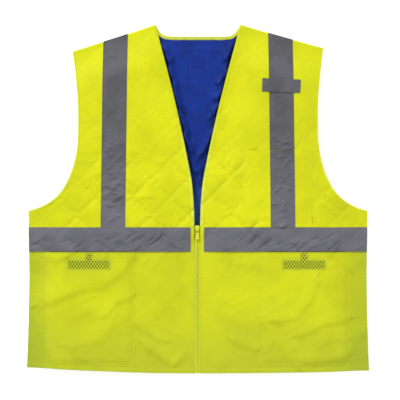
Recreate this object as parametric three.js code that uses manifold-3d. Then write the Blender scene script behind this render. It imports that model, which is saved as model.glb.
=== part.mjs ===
// A cooling vest for work, laid on its back: quilted chest and back, mesh skirt, reflective tape,
// a zip down the front, a chest pocket and two skirt pockets. Millimetres. X runs to the wearer's
// left, Y to the collar and Z up out of the front. The origin is on the surface that the vest
// lies on, under the middle of its length and width.

import * as THREE from 'three';
import { mergeVertices } from 'three/addons/utils/BufferGeometryUtils.js';
import Module from 'manifold-3d';

const wasm = await Module();
wasm.setup();

// Body, as it lies
const BODY_LENGTH = 730; // neck points to hem
const HEM_WIDTH = 719;
const ARMPIT_WIDTH = 711;
const ARMPIT_DROP = 391; // neck points down to the armpits
const SIDE_HOLLOW = 3; // how far the side fold curves in between armpit and hem
const CHEST_WIDTH = 500; // between the armholes, at the narrowest
const SHOULDER_WIDTH = 525;
const NECK_WIDTH = 178;
const BACK_NECK_DROP = 24;
const SIDES = [
  { name: 'right', sign: -1, shoulderDrop: 56, hemLift: 11, quiltX: -98, quiltY: 41 },
  { name: 'left', sign: 1, shoulderDrop: 49, hemLift: 4, quiltX: 68, quiltY: 46 },
];

// Cloth
const QUILT_PERIOD = 77; // across the corners of one diamond
const QUILT_SEAM = 3.4; // thickness along the quilting lines
const QUILT_PUFF = 3.2; // how much more a diamond's middle has
const QUILT_UNDER_TAPE = 1.5; // what the tapes' seams leave of the puff
const BACK_QUILT = 5;
const SKIRT_CLOTH = 2;
const LINING_CLOTH = 1;
const PIECE_GAP = 0.3; // between pieces that touch

// Room for the body between front and back
const BODY_ROOM = 14;
const SIDE_FLAT = 24; // from the side fold, still pressed flat
const SIDE_RISE = 105; // from the side fold, at full height
const SHOULDER_FLAT = 20;
const SHOULDER_RISE = 85;
const LAPEL_SAG = 0.4; // share of the room that the free edges of the V neck lose
const LAPEL_REACH = 80;

// Edges
const NECK_BINDING = 7;
const ARMHOLE_BINDING = 4;
const BINDING_PROUD = 0.6;
const BACK_NECK_BAND = 8;

// Reflective tape
const TAPE_WIDTH = 51;
const TAPE = 0.9;
const WAIST_TAPE_DROP = 425; // neck points down to its upper edge
const TAPE_TOP_X = 172.5; // middle of the front vertical tapes at the shoulder
const TAPE_LOW_X = 177.5; // and at the waist
const WAIST_TAPE_INSET = 8; // from the zip edge of each front
const MIC_TAB = { width: 80, height: 28, thick: 1.2, drop: 129, tilt: 2.3 };

// Zip
const ZIP_X = -1.5;
const ZIP_DROP = 421; // neck points down to the slider's head
const ZIP_OPENING = 12; // between the two fronts
const ZIP_TAPE = { width: 17, thick: 0.8 };
const CHAIN = { width: 6, thick: 2.4, end: 8 }; // end is how far above the hem it stops
const SLIDER = { length: 15, plate: 1.5, post: 4, side: 0.5 }; // side is its gap to each front
const BRIDGE = { width: 3, length: 6, wall: 1.2, opening: 2.6, down: 6.5 };
const PULL = { width: 8, length: 20, thick: 1.6, bar: 1.7, eye: 5.2, side: 0.5 };
const MOVING_GAP = 0.35; // between the slider and its pull

// Pockets
const POCKET_CLOTH = 1.2;
const POCKET_LIFT = 6; // room in an empty pocket
const POCKET_SEAM = 5;
const POCKET_FADE = 18; // from the seam to full room
const CHEST_POCKET = { inner: 93, outer: 238, top: 101 };
const PEN_SLOT = 20; // from the pocket's inner edge to the stitching beside the slot
const SKIRT_POCKET = { inner: 130, outer: 321, bottom: 14 }; // bottom is measured from the hem
const CLOSURE = { width: 85, height: 15, drop: 18, peak: 13, thick: 1.2, middle: 228 };

// Outline tables. Every column is a share of the size it follows.
// The armhole: down from shoulder tip to armpit, out from the chest to the armpit width.
const ARMHOLE = [
  { down: 0, out: null }, // the shoulder tip itself
  { down: 0.17, out: 0.045 },
  { down: 0.32, out: 0 },
  { down: 0.47, out: 0 },
  { down: 0.6, out: 0.02 },
  { down: 0.71, out: 0.09 },
  { down: 0.81, out: 0.21 },
  { down: 0.925, out: 0.49 },
  { down: 0.97, out: 0.72 },
  { down: 1, out: 1 },
];
// The V neck: down from the neck point to the zip, out from the zip's opening to the neck point.
const NECK_EDGE = [
  { down: 0, out: 1 },
  { down: 0.065, out: 0.918 },
  { down: 0.2, out: 0.736 },
  { down: 0.35, out: 0.54 },
  { down: 0.515, out: 0.344 },
  { down: 0.67, out: 0.178 },
  { down: 0.78, out: 0.072 },
  { down: 0.885, out: 0.022 },
  { down: 1, out: 0 },
];
// The back neck: out from the middle to the neck point, down of the drop.
const BACK_NECK = [
  { out: 1, down: 0 },
  { out: 0.91, down: 0.55 },
  { out: 0.8, down: 0.9 },
  { out: 0.66, down: 1 },
  { out: 0.33, down: 1.02 },
  { out: 0, down: 1.03 },
];
// Soft folds of the skirt: each runs from one point to another. x is a share of the half width,
// y of the skirt's height up from the hem, and high and wide are in millimetres.
const SKIRT_FOLDS = [
  { side: 'right', fromX: 0.9, fromY: 0.6, toX: 0.5, toY: 0.93, high: 2.6, wide: 30 },
  { side: 'right', fromX: 0.95, fromY: 0.5, toX: 0.83, toY: 0.1, high: 2.2, wide: 26 },
  { side: 'right', fromX: 0.72, fromY: 0.23, toX: 0.46, toY: 0.42, high: 2, wide: 26 },
  { side: 'right', fromX: 0.32, fromY: 0.38, toX: 0.14, toY: 0.14, high: 2.6, wide: 28 },
  { side: 'left', fromX: 0.68, fromY: 0.74, toX: 0.46, toY: 0.42, high: 2.4, wide: 28 },
  { side: 'left', fromX: 0.86, fromY: 0.41, toX: 0.6, toY: 0.33, high: 2, wide: 26 },
  { side: 'left', fromX: 0.38, fromY: 0.42, toX: 0.57, toY: 0.06, high: 2.6, wide: 28 },
  { side: 'left', fromX: 0.06, fromY: 0.2, toX: 0.34, toY: 0.24, high: 1.8, wide: 26 },
];
// Soft folds of the back lining, in the same columns over the back's half width and length.
const LINING_FOLDS = [
  { fromX: -0.22, fromY: 0.93, toX: -0.02, toY: 0.8, high: 1, wide: 34 },
  { fromX: 0.2, fromY: 0.95, toX: 0.06, toY: 0.72, high: 1, wide: 34 },
  { fromX: -0.1, fromY: 0.72, toX: 0.02, toY: 0.55, high: 0.8, wide: 30 },
];

// Places that follow from the sizes
const NECK_Y = BODY_LENGTH / 2;
const HEM_Y = -BODY_LENGTH / 2;
const ARMPIT_Y = NECK_Y - ARMPIT_DROP;
const ZIP_Y = NECK_Y - ZIP_DROP;
const WAIST_TOP = NECK_Y - WAIST_TAPE_DROP;
const WAIST_LOW = WAIST_TOP - TAPE_WIDTH;
const WAIST_SEAM = (WAIST_TOP + WAIST_LOW) / 2;
const CELL = QUILT_PERIOD / 4;
const SEAM_Z = BACK_QUILT + LINING_CLOTH + 2 * PIECE_GAP; // underside of the fronts on the back
const SKIRT_SEAM_Z = SKIRT_CLOTH + PIECE_GAP; // and lower down, on the back skirt
const ROOM_TOP = SEAM_Z + BODY_ROOM; // underside of the fronts in the middle
const TAPE_STEP = PIECE_GAP + TAPE;
const REACH = 10; // how far cutting shapes pass what they cut
const TALL = 120;
const HEIGHT_STEP = 1 / 64; // heights are rounded to it, so that facets in one plane stay in it
const CURVE_STEPS = 22;

// Manifold solid of a closed three.js geometry
function solid(geometry) {
  const bare = geometry.clone();
  bare.deleteAttribute('normal');
  bare.deleteAttribute('uv');
  const merged = mergeVertices(bare, 1e-5);
  return new wasm.Manifold(new wasm.Mesh({
    numProp: 3,
    vertProperties: new Float32Array(merged.attributes.position.array),
    triVerts: new Uint32Array(merged.index.array),
  }));
}

// Upright prism over an outline
function prism(outline, low = -REACH, high = TALL) {
  const shape = outline instanceof THREE.Shape ? outline : new THREE.Shape(outline);
  const geometry = new THREE.ExtrudeGeometry(shape, { depth: high - low, bevelEnabled: false });
  return solid(geometry.translate(0, 0, low));
}

function block(x0, x1, y0, y1, z0, z1) {
  const geometry = new THREE.BoxGeometry(x1 - x0, y1 - y0, z1 - z0);
  return solid(geometry.translate((x0 + x1) / 2, (y0 + y1) / 2, (z0 + z1) / 2));
}

const point = (x, y) => new THREE.Vector2(x, y);

const rectangle = (x0, x1, y0, y1) => [point(x0, y0), point(x1, y0), point(x1, y1), point(x0, y1)];

// Points of a smooth line through a table's points
function smoothLine(points, steps = CURVE_STEPS) {
  return new THREE.SplineCurve(points).getPoints(steps);
}

// Strip of even width along a line, between two distances to its left
function strip(line, near, far) {
  const offset = (distance) => line.map((here, index) => {
    const before = line[Math.max(index - 1, 0)];
    const after = line[Math.min(index + 1, line.length - 1)];
    const along = after.clone().sub(before).normalize();
    return point(here.x - along.y * distance, here.y + along.x * distance);
  });
  return [...offset(near), ...offset(far).reverse()];
}

// A grid of square cells whose corners fall on the quilting lines of one panel
function grid(originX, originY, cell = CELL) {
  const halfWidth = HEM_WIDTH / 2 + 2 * CELL;
  const halfLength = BODY_LENGTH / 2 + 2 * CELL;
  return {
    originX,
    originY,
    cell,
    firstColumn: Math.floor((-halfWidth - originX) / cell),
    lastColumn: Math.ceil((halfWidth - originX) / cell),
    firstRow: Math.floor((-halfLength - originY) / cell),
    lastRow: Math.ceil((halfLength - originY) / cell),
  };
}

const wrap4 = (number) => ((number % 4) + 4) % 4;

// Everything below a surface that is known at the grid's corners. In each cell the diagonal
// follows the quilting line, if one crosses it.
function below(cells, height) {
  const columns = cells.lastColumn - cells.firstColumn + 1;
  const rows = cells.lastRow - cells.firstRow + 1;
  const positions = [];
  for (const level of ['low', 'high']) {
    for (let row = 0; row < rows; row += 1) {
      for (let column = 0; column < columns; column += 1) {
        const i = column + cells.firstColumn;
        const j = row + cells.firstRow;
        const x = cells.originX + i * cells.cell;
        const y = cells.originY + j * cells.cell;
        positions.push(x, y, level === 'low' ? -TALL : height(x, y, i, j));
      }
    }
  }
  const layer = columns * rows;
  const triangles = [];
  const quad = (a, b, c, d, turned) => {
    if (turned) triangles.push(a, b, d, b, c, d);
    else triangles.push(a, b, c, a, c, d);
  };
  for (let row = 0; row < rows - 1; row += 1) {
    for (let column = 0; column < columns - 1; column += 1) {
      const a = row * columns + column;
      const falling = wrap4(column + cells.firstColumn + row + cells.firstRow + 1) === 0;
      quad(layer + a, layer + a + 1, layer + a + columns + 1, layer + a + columns, falling);
      quad(a, a + columns, a + columns + 1, a + 1, false);
    }
  }
  for (let column = 0; column < columns - 1; column += 1) {
    const far = (rows - 1) * columns + column;
    quad(column, column + 1, layer + column + 1, layer + column, false);
    quad(far + 1, far, layer + far, layer + far + 1, false);
  }
  for (let row = 0; row < rows - 1; row += 1) {
    const left = row * columns;
    const right = left + columns - 1;
    quad(left + columns, left, layer + left, layer + left + columns, false);
    quad(right, right + columns, layer + right + columns, layer + right, false);
  }
  const geometry = new THREE.BufferGeometry();
  geometry.setAttribute('position', new THREE.Float32BufferAttribute(positions, 3));
  geometry.setIndex(triangles);
  return solid(geometry);
}

// The same surface as straight facets between the corners of a grid of double cells
function faceted(cells, height) {
  const step = 2 * cells.cell;
  return (x, y) => {
    const u = (x - cells.originX) / step;
    const v = (y - cells.originY) / step;
    const i = Math.floor(u + 1e-6);
    const j = Math.floor(v + 1e-6);
    const at = (p, q) => height(cells.originX + p * step, cells.originY + q * step);
    const start = at(i, j);
    const end = at(i + 1, j + 1);
    const across = u - i;
    const up = v - j;
    if (across > up) {
      const corner = at(i + 1, j);
      return start + across * (corner - start) + up * (end - corner);
    }
    const corner = at(i, j + 1);
    return start + up * (corner - start) + across * (end - corner);
  };
}

const rounded = (height) => Math.round(height / HEIGHT_STEP) * HEIGHT_STEP;

// Distance from a point to a straight line between two points
function distanceTo(x, y, from, to) {
  const line = new THREE.Line3(new THREE.Vector3(...from, 0), new THREE.Vector3(...to, 0));
  const here = new THREE.Vector3(x, y, 0);
  return line.closestPointToPoint(here, true, new THREE.Vector3()).distanceTo(here);
}

// Outline of one side, in points that run down it
function sideLines(side) {
  const at = (x, y) => point(side.sign * x, y);
  const tipY = NECK_Y - side.shoulderDrop;
  const chest = CHEST_WIDTH / 2;
  const armhole = ARMHOLE.map(({ down, out }) => at(
    out === null ? SHOULDER_WIDTH / 2 : chest + out * (ARMPIT_WIDTH / 2 - chest),
    THREE.MathUtils.lerp(tipY, ARMPIT_Y, down),
  ));
  const hemY = HEM_Y + side.hemLift;
  const sideFold = new THREE.QuadraticBezierCurve(
    at(ARMPIT_WIDTH / 2, ARMPIT_Y),
    at((ARMPIT_WIDTH + HEM_WIDTH) / 4 - 2 * SIDE_HOLLOW, (ARMPIT_Y + hemY) / 2),
    at(HEM_WIDTH / 2, hemY),
  ).getPoints(6);
  const hem = new THREE.QuadraticBezierCurve(
    at(HEM_WIDTH / 2, hemY),
    at(HEM_WIDTH / 5, HEM_Y),
    at(0, HEM_Y),
  ).getPoints(5);
  const opening = ZIP_OPENING / 2;
  const neck = NECK_EDGE.map(({ down, out }) => {
    const zipEdge = ZIP_X + side.sign * opening;
    return point(
      THREE.MathUtils.lerp(zipEdge, side.sign * NECK_WIDTH / 2, out),
      THREE.MathUtils.lerp(NECK_Y, ZIP_Y, down),
    );
  });
  return {
    neckPoint: at(NECK_WIDTH / 2, NECK_Y),
    armhole: smoothLine(armhole),
    sideFold,
    hem,
    neck: smoothLine(neck, 20),
    backNeck: smoothLine(BACK_NECK.map(({ out, down }) => (
      at(out * NECK_WIDTH / 2, NECK_Y - down * BACK_NECK_DROP)
    )), 12),
  };
}

const lines = Object.fromEntries(SIDES.map((side) => [side.name, sideLines(side)]));

// Share of the body room that the fronts leave open at a place
function roomShare(x, y) {
  let share = 1;
  for (const side of SIDES) {
    const armpit = [side.sign * ARMPIT_WIDTH / 2, ARMPIT_Y];
    const hemCorner = [side.sign * HEM_WIDTH / 2, HEM_Y - 2 * CELL];
    const neckPoint = [side.sign * NECK_WIDTH / 2, NECK_Y];
    const tip = [side.sign * SHOULDER_WIDTH / 2, NECK_Y - side.shoulderDrop];
    const fromSide = distanceTo(x, y, armpit, hemCorner);
    const fromShoulder = distanceTo(x, y, neckPoint, tip);
    const fromLapel = distanceTo(x, y, neckPoint, [ZIP_X, ZIP_Y]);
    const lapel = 1 - THREE.MathUtils.smoothstep(fromLapel, 0, LAPEL_REACH);
    const aboveZip = THREE.MathUtils.smoothstep(y, ZIP_Y + CELL, ZIP_Y + ARMPIT_DROP / 2);
    const outside = Math.abs(x) > Math.abs(armpit[0]) ? 0 : 1;
    share *= THREE.MathUtils.smoothstep(fromSide, SIDE_FLAT, SIDE_RISE) * outside;
    share *= THREE.MathUtils.smoothstep(fromShoulder, SHOULDER_FLAT, SHOULDER_RISE);
    share *= 1 - LAPEL_SAG * lapel * aboveZip * (side.sign * x > 0 ? 1 : 0);
  }
  return y > NECK_Y ? 0 : share;
}

// Height of the fronts' underside along the side fold
function seamHeight(y) {
  const upper = THREE.MathUtils.smoothstep(y, WAIST_SEAM - 4 * CELL, WAIST_SEAM - 2 * CELL);
  return THREE.MathUtils.lerp(SKIRT_SEAM_Z, SEAM_Z, upper);
}

// Height of a soft ridge along a straight run, for a list of folds
function foldHeight(x, y, folds, place) {
  let height = 0;
  for (const fold of folds) {
    const away = distanceTo(x, y, place(fold.fromX, fold.fromY), place(fold.toX, fold.toY));
    height += fold.high * (1 - THREE.MathUtils.smoothstep(away, 0, fold.wide));
  }
  return height;
}

const skirtHeight = WAIST_LOW - HEM_Y;

// Middle line of a vertical tape
const tapeX = (y) => THREE.MathUtils.mapLinear(y, NECK_Y, WAIST_TOP, TAPE_TOP_X, TAPE_LOW_X);

// How much a quilted diamond stands up at a corner of the grid, or the cloth under a tape
function puff(x, y, i, j) {
  if (Math.abs(Math.abs(x) - tapeX(y)) < TAPE_WIDTH / 2) return QUILT_UNDER_TAPE;
  const rising = wrap4(i - j);
  const falling = wrap4(i + j);
  if (rising === 0 || falling === 0) return 0;
  return rising === 2 && falling === 2 ? QUILT_PUFF : 0.75 * QUILT_PUFF;
}

// Surfaces of one front: its underside, its outer face, and the same face without the folds
// and puffs, which the pockets span
function frontSurfaces(side) {
  const cells = grid(side.quiltX, side.quiltY);
  const wide = grid(side.quiltX, side.quiltY, 2 * CELL);
  const underside = (x, y) => rounded(THREE.MathUtils.lerp(seamHeight(y), ROOM_TOP, roomShare(x, y)));
  const smooth = faceted(cells, underside);
  const skirtPlace = (u, v) => [side.sign * u * HEM_WIDTH / 2, HEM_Y + v * skirtHeight];
  const folds = SKIRT_FOLDS.filter((fold) => fold.side === side.name);
  const upper = (y) => THREE.MathUtils.smoothstep(y, WAIST_LOW, WAIST_TOP);
  const thickness = (x, y, i, j) => {
    const quilted = QUILT_SEAM + puff(x, y, i, j) * THREE.MathUtils.smoothstep(y, WAIST_SEAM, WAIST_TOP);
    const skirt = SKIRT_CLOTH + foldHeight(x, y, folds, skirtPlace) * skirtOpen(side, x, y);
    return THREE.MathUtils.lerp(skirt, quilted, upper(y));
  };
  const overSkirt = (x, y) => smooth(x, y) + SKIRT_CLOTH + PIECE_GAP + rounded(
    pocketLift(side, x, y) + foldHeight(x, y, folds, skirtPlace) * (1 - skirtOpen(side, x, y)),
  );
  const overChest = (x, y) => underside(x, y) + QUILT_SEAM + QUILT_PUFF + PIECE_GAP
    + pocketLift(side, x, y);
  return {
    under: below(wide, underside),
    outer: below(cells, (x, y, i, j) => smooth(x, y) + thickness(x, y, i, j)),
    edge: below(wide, (x, y) => underside(x, y) + QUILT_SEAM + QUILT_PUFF / 2 + BINDING_PROUD),
    skirtPocket: below(cells, overSkirt),
    chestPocket: below(wide, overChest),
  };
}

// 1 where the skirt shows, 0 where a pocket hides it
function skirtOpen(side, x, y) {
  const out = side.sign * x;
  const overPocket = out > SKIRT_POCKET.inner - CELL && out < SKIRT_POCKET.outer + CELL;
  return overPocket && y < WAIST_LOW + CELL ? 0 : 1;
}

// Room under a pocket's cloth: none at its seams, full in the middle and at its mouth
function pocketLift(side, x, y) {
  const out = side.sign * x;
  const span = (value, low, high) => THREE.MathUtils.smoothstep(
    Math.min(value - low, high - value), 0, POCKET_FADE,
  );
  const inSkirt = span(out, SKIRT_POCKET.inner, SKIRT_POCKET.outer)
    * THREE.MathUtils.smoothstep(y - HEM_Y - SKIRT_POCKET.bottom, 0, POCKET_FADE);
  const inChest = span(out, CHEST_POCKET.inner, CHEST_POCKET.outer)
    * THREE.MathUtils.smoothstep(y - WAIST_TOP, 0, POCKET_FADE);
  if (y < WAIST_SEAM) return POCKET_LIFT * inSkirt;
  return side.name === 'left' ? POCKET_LIFT * inChest : 0;
}

const surfaces = Object.fromEntries(SIDES.map((side) => [side.name, frontSurfaces(side)]));

const raise = (body, distance) => body.translate([0, 0, distance]);

// Cloth that lies on a surface, between two heights above it
function layer(outline, surface, low, high) {
  return prism(outline).intersect(raise(surface, high)).subtract(raise(surface, low));
}

const group = new THREE.Group();

function add(name, body, color, roughness, metalness = 0) {
  const mesh = body.getMesh();
  const geometry = new THREE.BufferGeometry();
  geometry.setAttribute('position', new THREE.BufferAttribute(mesh.vertProperties, 3));
  geometry.setIndex(new THREE.BufferAttribute(mesh.triVerts, 1));
  geometry.computeVertexNormals();
  const material = new THREE.MeshStandardMaterial({ color, roughness, metalness, flatShading: true });
  const piece = new THREE.Mesh(geometry, material);
  piece.name = name;
  group.add(piece);
}

const LIME = 0xdde424;
const MESH_LIME = 0xcdd82a;
const BLUE = 0x223b88;
const SILVER = 0x6b6a72;
const DARK = 0x4a4d1e;

// Fronts: two quilted chest panels and two mesh skirt panels, bound along the neck and armholes

function frontOutline(side) {
  const { neck, armhole, sideFold, hem } = lines[side.name];
  const zipEdge = ZIP_X + side.sign * ZIP_OPENING / 2;
  return prism([...neck.slice().reverse(), ...armhole, ...sideFold.slice(1), ...hem.slice(1, -1),
    point(zipEdge, HEM_Y)]);
}

// Strip along an edge that runs down the vest, between two distances towards the cloth
function edgeStrip(line, side, near, far, turn) {
  return prism(strip(line, near * turn * side.sign, far * turn * side.sign));
}

const NECK_SIDE = 1; // the cloth lies away from the middle
const ARMHOLE_SIDE = -1; // the cloth lies towards the middle

const across = (y0, y1, z0 = -REACH, z1 = TALL) => block(-HEM_WIDTH, HEM_WIDTH, y0, y1, z0, z1);

function bindingCuts(side) {
  const { neck, armhole } = lines[side.name];
  return {
    neck: edgeStrip(neck, side, -REACH, NECK_BINDING + PIECE_GAP, NECK_SIDE),
    armhole: edgeStrip(armhole, side, -REACH, ARMHOLE_BINDING + PIECE_GAP, ARMHOLE_SIDE),
  };
}

for (const side of SIDES) {
  const { neck, armhole } = lines[side.name];
  const { under, outer, edge } = surfaces[side.name];
  const outline = frontOutline(side);
  const cuts = bindingCuts(side);
  const shell = outline.intersect(outer).subtract(under).subtract(cuts.neck).subtract(cuts.armhole);
  const chest = shell.intersect(across(WAIST_SEAM + PIECE_GAP, NECK_Y + REACH));
  const skirt = shell.intersect(across(HEM_Y - REACH, WAIST_SEAM));
  add(`front_upper_${side.name}`, chest, LIME, 0.8);
  add(`front_lower_${side.name}`, skirt, MESH_LIME, 0.85);

  const wrap = outline.intersect(edge).subtract(under);
  const neckBinding = wrap.intersect(edgeStrip(neck, side, 0, NECK_BINDING, NECK_SIDE));
  const armholeBinding = wrap
    .intersect(edgeStrip(armhole, side, 0, ARMHOLE_BINDING, ARMHOLE_SIDE));
  add(`neck_binding_${side.name}`, neckBinding, LIME, 0.75);
  add(`armhole_binding_${side.name}_front`, armholeBinding, LIME, 0.75);
}

// Back: a quilted panel with its lining, and a mesh skirt. Its outer face lies down and is pressed
// flat, with the tapes level with it.

function backOutline() {
  const sidePath = ({ armhole, sideFold, hem }) => [...armhole, ...sideFold.slice(1), ...hem.slice(1)];
  const { left, right } = lines;
  return prism([...left.backNeck.slice().reverse(), ...sidePath(left),
    ...sidePath(right).reverse().slice(1), ...right.backNeck.slice(0, -1)]);
}

// Outline of a vertical tape between two heights
function verticalTape(sign, y0, y1, grow = 0) {
  const half = TAPE_WIDTH / 2 + grow;
  return [[-half, y0], [half, y0], [half, y1], [-half, y1]]
    .map(([aside, y]) => point(sign * (tapeX(y) + aside), y));
}

const outlineOfBack = backOutline();
const neckLine = [...lines.right.backNeck, ...lines.left.backNeck.slice(0, -1).reverse()];
const neckBand = (grow) => prism(strip(neckLine, grow, -BACK_NECK_BAND - grow));
const backEdges = SIDES.map((side) => bindingCuts(side).armhole)
  .reduce((all, cut) => all.add(cut), neckBand(PIECE_GAP));
const waistBed = across(WAIST_LOW - PIECE_GAP, WAIST_TOP + PIECE_GAP, -REACH, TAPE_STEP);
const tapeBeds = SIDES.map(({ sign }) => prism(
  verticalTape(sign, WAIST_SEAM, NECK_Y, PIECE_GAP), -REACH, TAPE_STEP,
)).reduce((all, bed) => all.add(bed), waistBed);

const backQuilt = outlineOfBack
  .intersect(across(WAIST_SEAM + PIECE_GAP, NECK_Y + REACH, 0, BACK_QUILT))
  .subtract(tapeBeds).subtract(backEdges);
add('back_upper', backQuilt, LIME, 0.8);

const backSkirt = across(HEM_Y - REACH, WAIST_LOW - PIECE_GAP, 0, SKIRT_CLOTH)
  .add(across(WAIST_LOW - PIECE_GAP - 3 * SKIRT_CLOTH, WAIST_SEAM, TAPE_STEP, TAPE_STEP + SKIRT_CLOTH));
add('back_lower', outlineOfBack.intersect(backSkirt), MESH_LIME, 0.85);

const liningPlace = (u, v) => [u * HEM_WIDTH / 2, HEM_Y + v * BODY_LENGTH];
const liningTop = below(grid(0, 0, 2 * CELL), (x, y) => (
  BACK_QUILT + PIECE_GAP + LINING_CLOTH + foldHeight(x, y, LINING_FOLDS, liningPlace)
));
const lining = outlineOfBack
  .intersect(across(WAIST_SEAM + PIECE_GAP, NECK_Y + REACH, BACK_QUILT + PIECE_GAP, TALL))
  .intersect(liningTop).subtract(backEdges);
add('back_lining', lining, BLUE, 0.6);

const backEdge = outlineOfBack.intersect(across(HEM_Y, NECK_Y, 0, SEAM_Z - PIECE_GAP));
add('back_neck_band', backEdge.intersect(neckBand(0)), LIME, 0.75);
for (const side of SIDES) {
  const binding = edgeStrip(lines[side.name].armhole, side, 0, ARMHOLE_BINDING, ARMHOLE_SIDE);
  add(`armhole_binding_${side.name}_back`, backEdge.intersect(binding), LIME, 0.75);
}

// Reflective tape

const withinBack = outlineOfBack.subtract(backEdges);
for (const side of SIDES) {
  const { outer } = surfaces[side.name];
  const outline = frontOutline(side);
  const onPocket = side.name === 'left';
  const lowEnd = onPocket ? CHEST_POCKET.top + PIECE_GAP : WAIST_TOP + PIECE_GAP;
  const vertical = layer(verticalTape(side.sign, lowEnd, NECK_Y), outer, PIECE_GAP, TAPE_STEP);
  add(`tape_${side.name}_front`, vertical.intersect(outline), SILVER, 0.45, 0.2);
  const waistEnd = ZIP_X + side.sign * (ZIP_OPENING / 2 + WAIST_TAPE_INSET);
  const waistEdges = [waistEnd, side.sign * HEM_WIDTH].sort((a, b) => a - b);
  const waist = layer(rectangle(...waistEdges, WAIST_LOW, WAIST_TOP), outer, PIECE_GAP, TAPE_STEP);
  add(`waist_tape_${side.name}`, waist.intersect(outline), SILVER, 0.45, 0.2);
  const backTape = prism(verticalTape(side.sign, WAIST_TOP + PIECE_GAP, NECK_Y), 0, TAPE);
  add(`tape_${side.name}_back`, backTape.intersect(withinBack), SILVER, 0.45, 0.2);
}
add('waist_tape_back', outlineOfBack.intersect(across(WAIST_LOW, WAIST_TOP, 0, TAPE)), SILVER, 0.45, 0.2);

// Short strip across the left tape that holds a microphone
function micTab() {
  const { outer } = surfaces.left;
  const y = NECK_Y - MIC_TAB.drop;
  const middle = point(tapeX(y), y);
  const turn = -THREE.MathUtils.degToRad(MIC_TAB.tilt);
  const corners = rectangle(-MIC_TAB.width / 2, MIC_TAB.width / 2, -MIC_TAB.height / 2, MIC_TAB.height / 2)
    .map((corner) => corner.rotateAround(point(0, 0), turn).add(middle));
  const overTape = prism(verticalTape(1, y - TAPE_WIDTH, y + TAPE_WIDTH, PIECE_GAP))
    .intersect(raise(outer, TAPE_STEP + PIECE_GAP));
  return layer(corners, outer, PIECE_GAP, TAPE_STEP + PIECE_GAP + MIC_TAB.thick).subtract(overTape);
}
add('mic_tab', micTab(), SILVER, 0.6);

// Pockets: cloth sewn down at the sides and below, with an empty room that is open at the top

function pocket(side, inside, edges, rooms) {
  const { outer } = surfaces[side.name];
  const [x0, x1] = [side.sign * edges.inner, side.sign * edges.outer].sort((a, b) => a - b);
  let body = prism(rectangle(x0, x1, edges.low, edges.high))
    .intersect(raise(inside, POCKET_CLOTH)).subtract(raise(outer, PIECE_GAP));
  for (const room of rooms) {
    const [r0, r1] = [side.sign * room.from, side.sign * room.to].sort((a, b) => a - b);
    const opening = rectangle(r0, r1, edges.low + POCKET_SEAM, edges.high + REACH);
    body = body.subtract(prism(opening).intersect(inside));
  }
  return body;
}

const SKIRT_POCKET_TOP = WAIST_LOW - PIECE_GAP;
for (const side of SIDES) {
  const { inner, outer } = SKIRT_POCKET;
  const edges = { inner, outer, low: HEM_Y + SKIRT_POCKET.bottom, high: SKIRT_POCKET_TOP };
  const room = { from: inner + POCKET_SEAM, to: outer - POCKET_SEAM };
  add(`skirt_pocket_${side.name}`, pocket(side, surfaces[side.name].skirtPocket, edges, [room]),
    MESH_LIME, 0.85);
}

// Strip that closes a skirt pocket: a bar with a pointed tab above its middle
function closure(side) {
  const top = SKIRT_POCKET_TOP - CLOSURE.drop;
  const at = (aside, y) => point(side.sign * CLOSURE.middle + aside, y);
  const half = CLOSURE.width / 2;
  const tab = CLOSURE.peak;
  const outline = [at(-half, top - CLOSURE.height), at(half, top - CLOSURE.height), at(half, top),
    at(tab, top), at(0, top + tab), at(-tab, top), at(-half, top)];
  return layer(outline, surfaces[side.name].outer, PIECE_GAP, PIECE_GAP + CLOSURE.thick);
}
for (const side of SIDES) add(`pocket_closure_${side.name}`, closure(side), DARK, 0.9);

const [leftSide] = SIDES.filter((side) => side.name === 'left');
const chestEdges = {
  inner: CHEST_POCKET.inner, outer: CHEST_POCKET.outer, low: WAIST_TOP + PIECE_GAP, high: CHEST_POCKET.top,
};
const stitching = CHEST_POCKET.inner + PEN_SLOT;
add('chest_pocket', pocket(leftSide, surfaces.left.chestPocket, chestEdges, [
  { from: CHEST_POCKET.inner + POCKET_SEAM, to: stitching - POCKET_SEAM / 2 },
  { from: stitching + POCKET_SEAM / 2, to: CHEST_POCKET.outer - POCKET_SEAM },
]), LIME, 0.8);
const pocketTape = verticalTape(1, chestEdges.low, chestEdges.high);
const onCloth = POCKET_CLOTH + PIECE_GAP;
add('tape_left_pocket', layer(pocketTape, surfaces.left.chestPocket, onCloth, onCloth + TAPE), SILVER, 0.45, 0.2);

// Zip: two cloth tapes under the fronts' edges, the chain on them, and the slider with its pull

const chainTop = ROOM_TOP + CHAIN.thick;
const slotY = ZIP_Y - SLIDER.post - PIECE_GAP; // where tapes and chain leave the slider's post
for (const side of SIDES) {
  const [x0, x1] = [side.sign * PIECE_GAP / 2, side.sign * ZIP_TAPE.width]
    .map((aside) => ZIP_X + aside).sort((a, b) => a - b);
  const high = ROOM_TOP - PIECE_GAP;
  const zipTape = block(x0, x1, HEM_Y, slotY, high - ZIP_TAPE.thick, high);
  add(`zip_tape_${side.name}`, zipTape, LIME, 0.85);
}
const chainLow = HEM_Y + CHAIN.end;
add('zip_chain', block(ZIP_X - CHAIN.width / 2, ZIP_X + CHAIN.width / 2, chainLow, slotY, ROOM_TOP, chainTop),
  LIME, 0.4);

const plateLow = chainTop + PIECE_GAP;
const plateTop = plateLow + SLIDER.plate;
const halfSlider = ZIP_OPENING / 2 - SLIDER.side;
const underLow = ROOM_TOP - 2 * PIECE_GAP - ZIP_TAPE.thick - SLIDER.plate;

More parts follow.
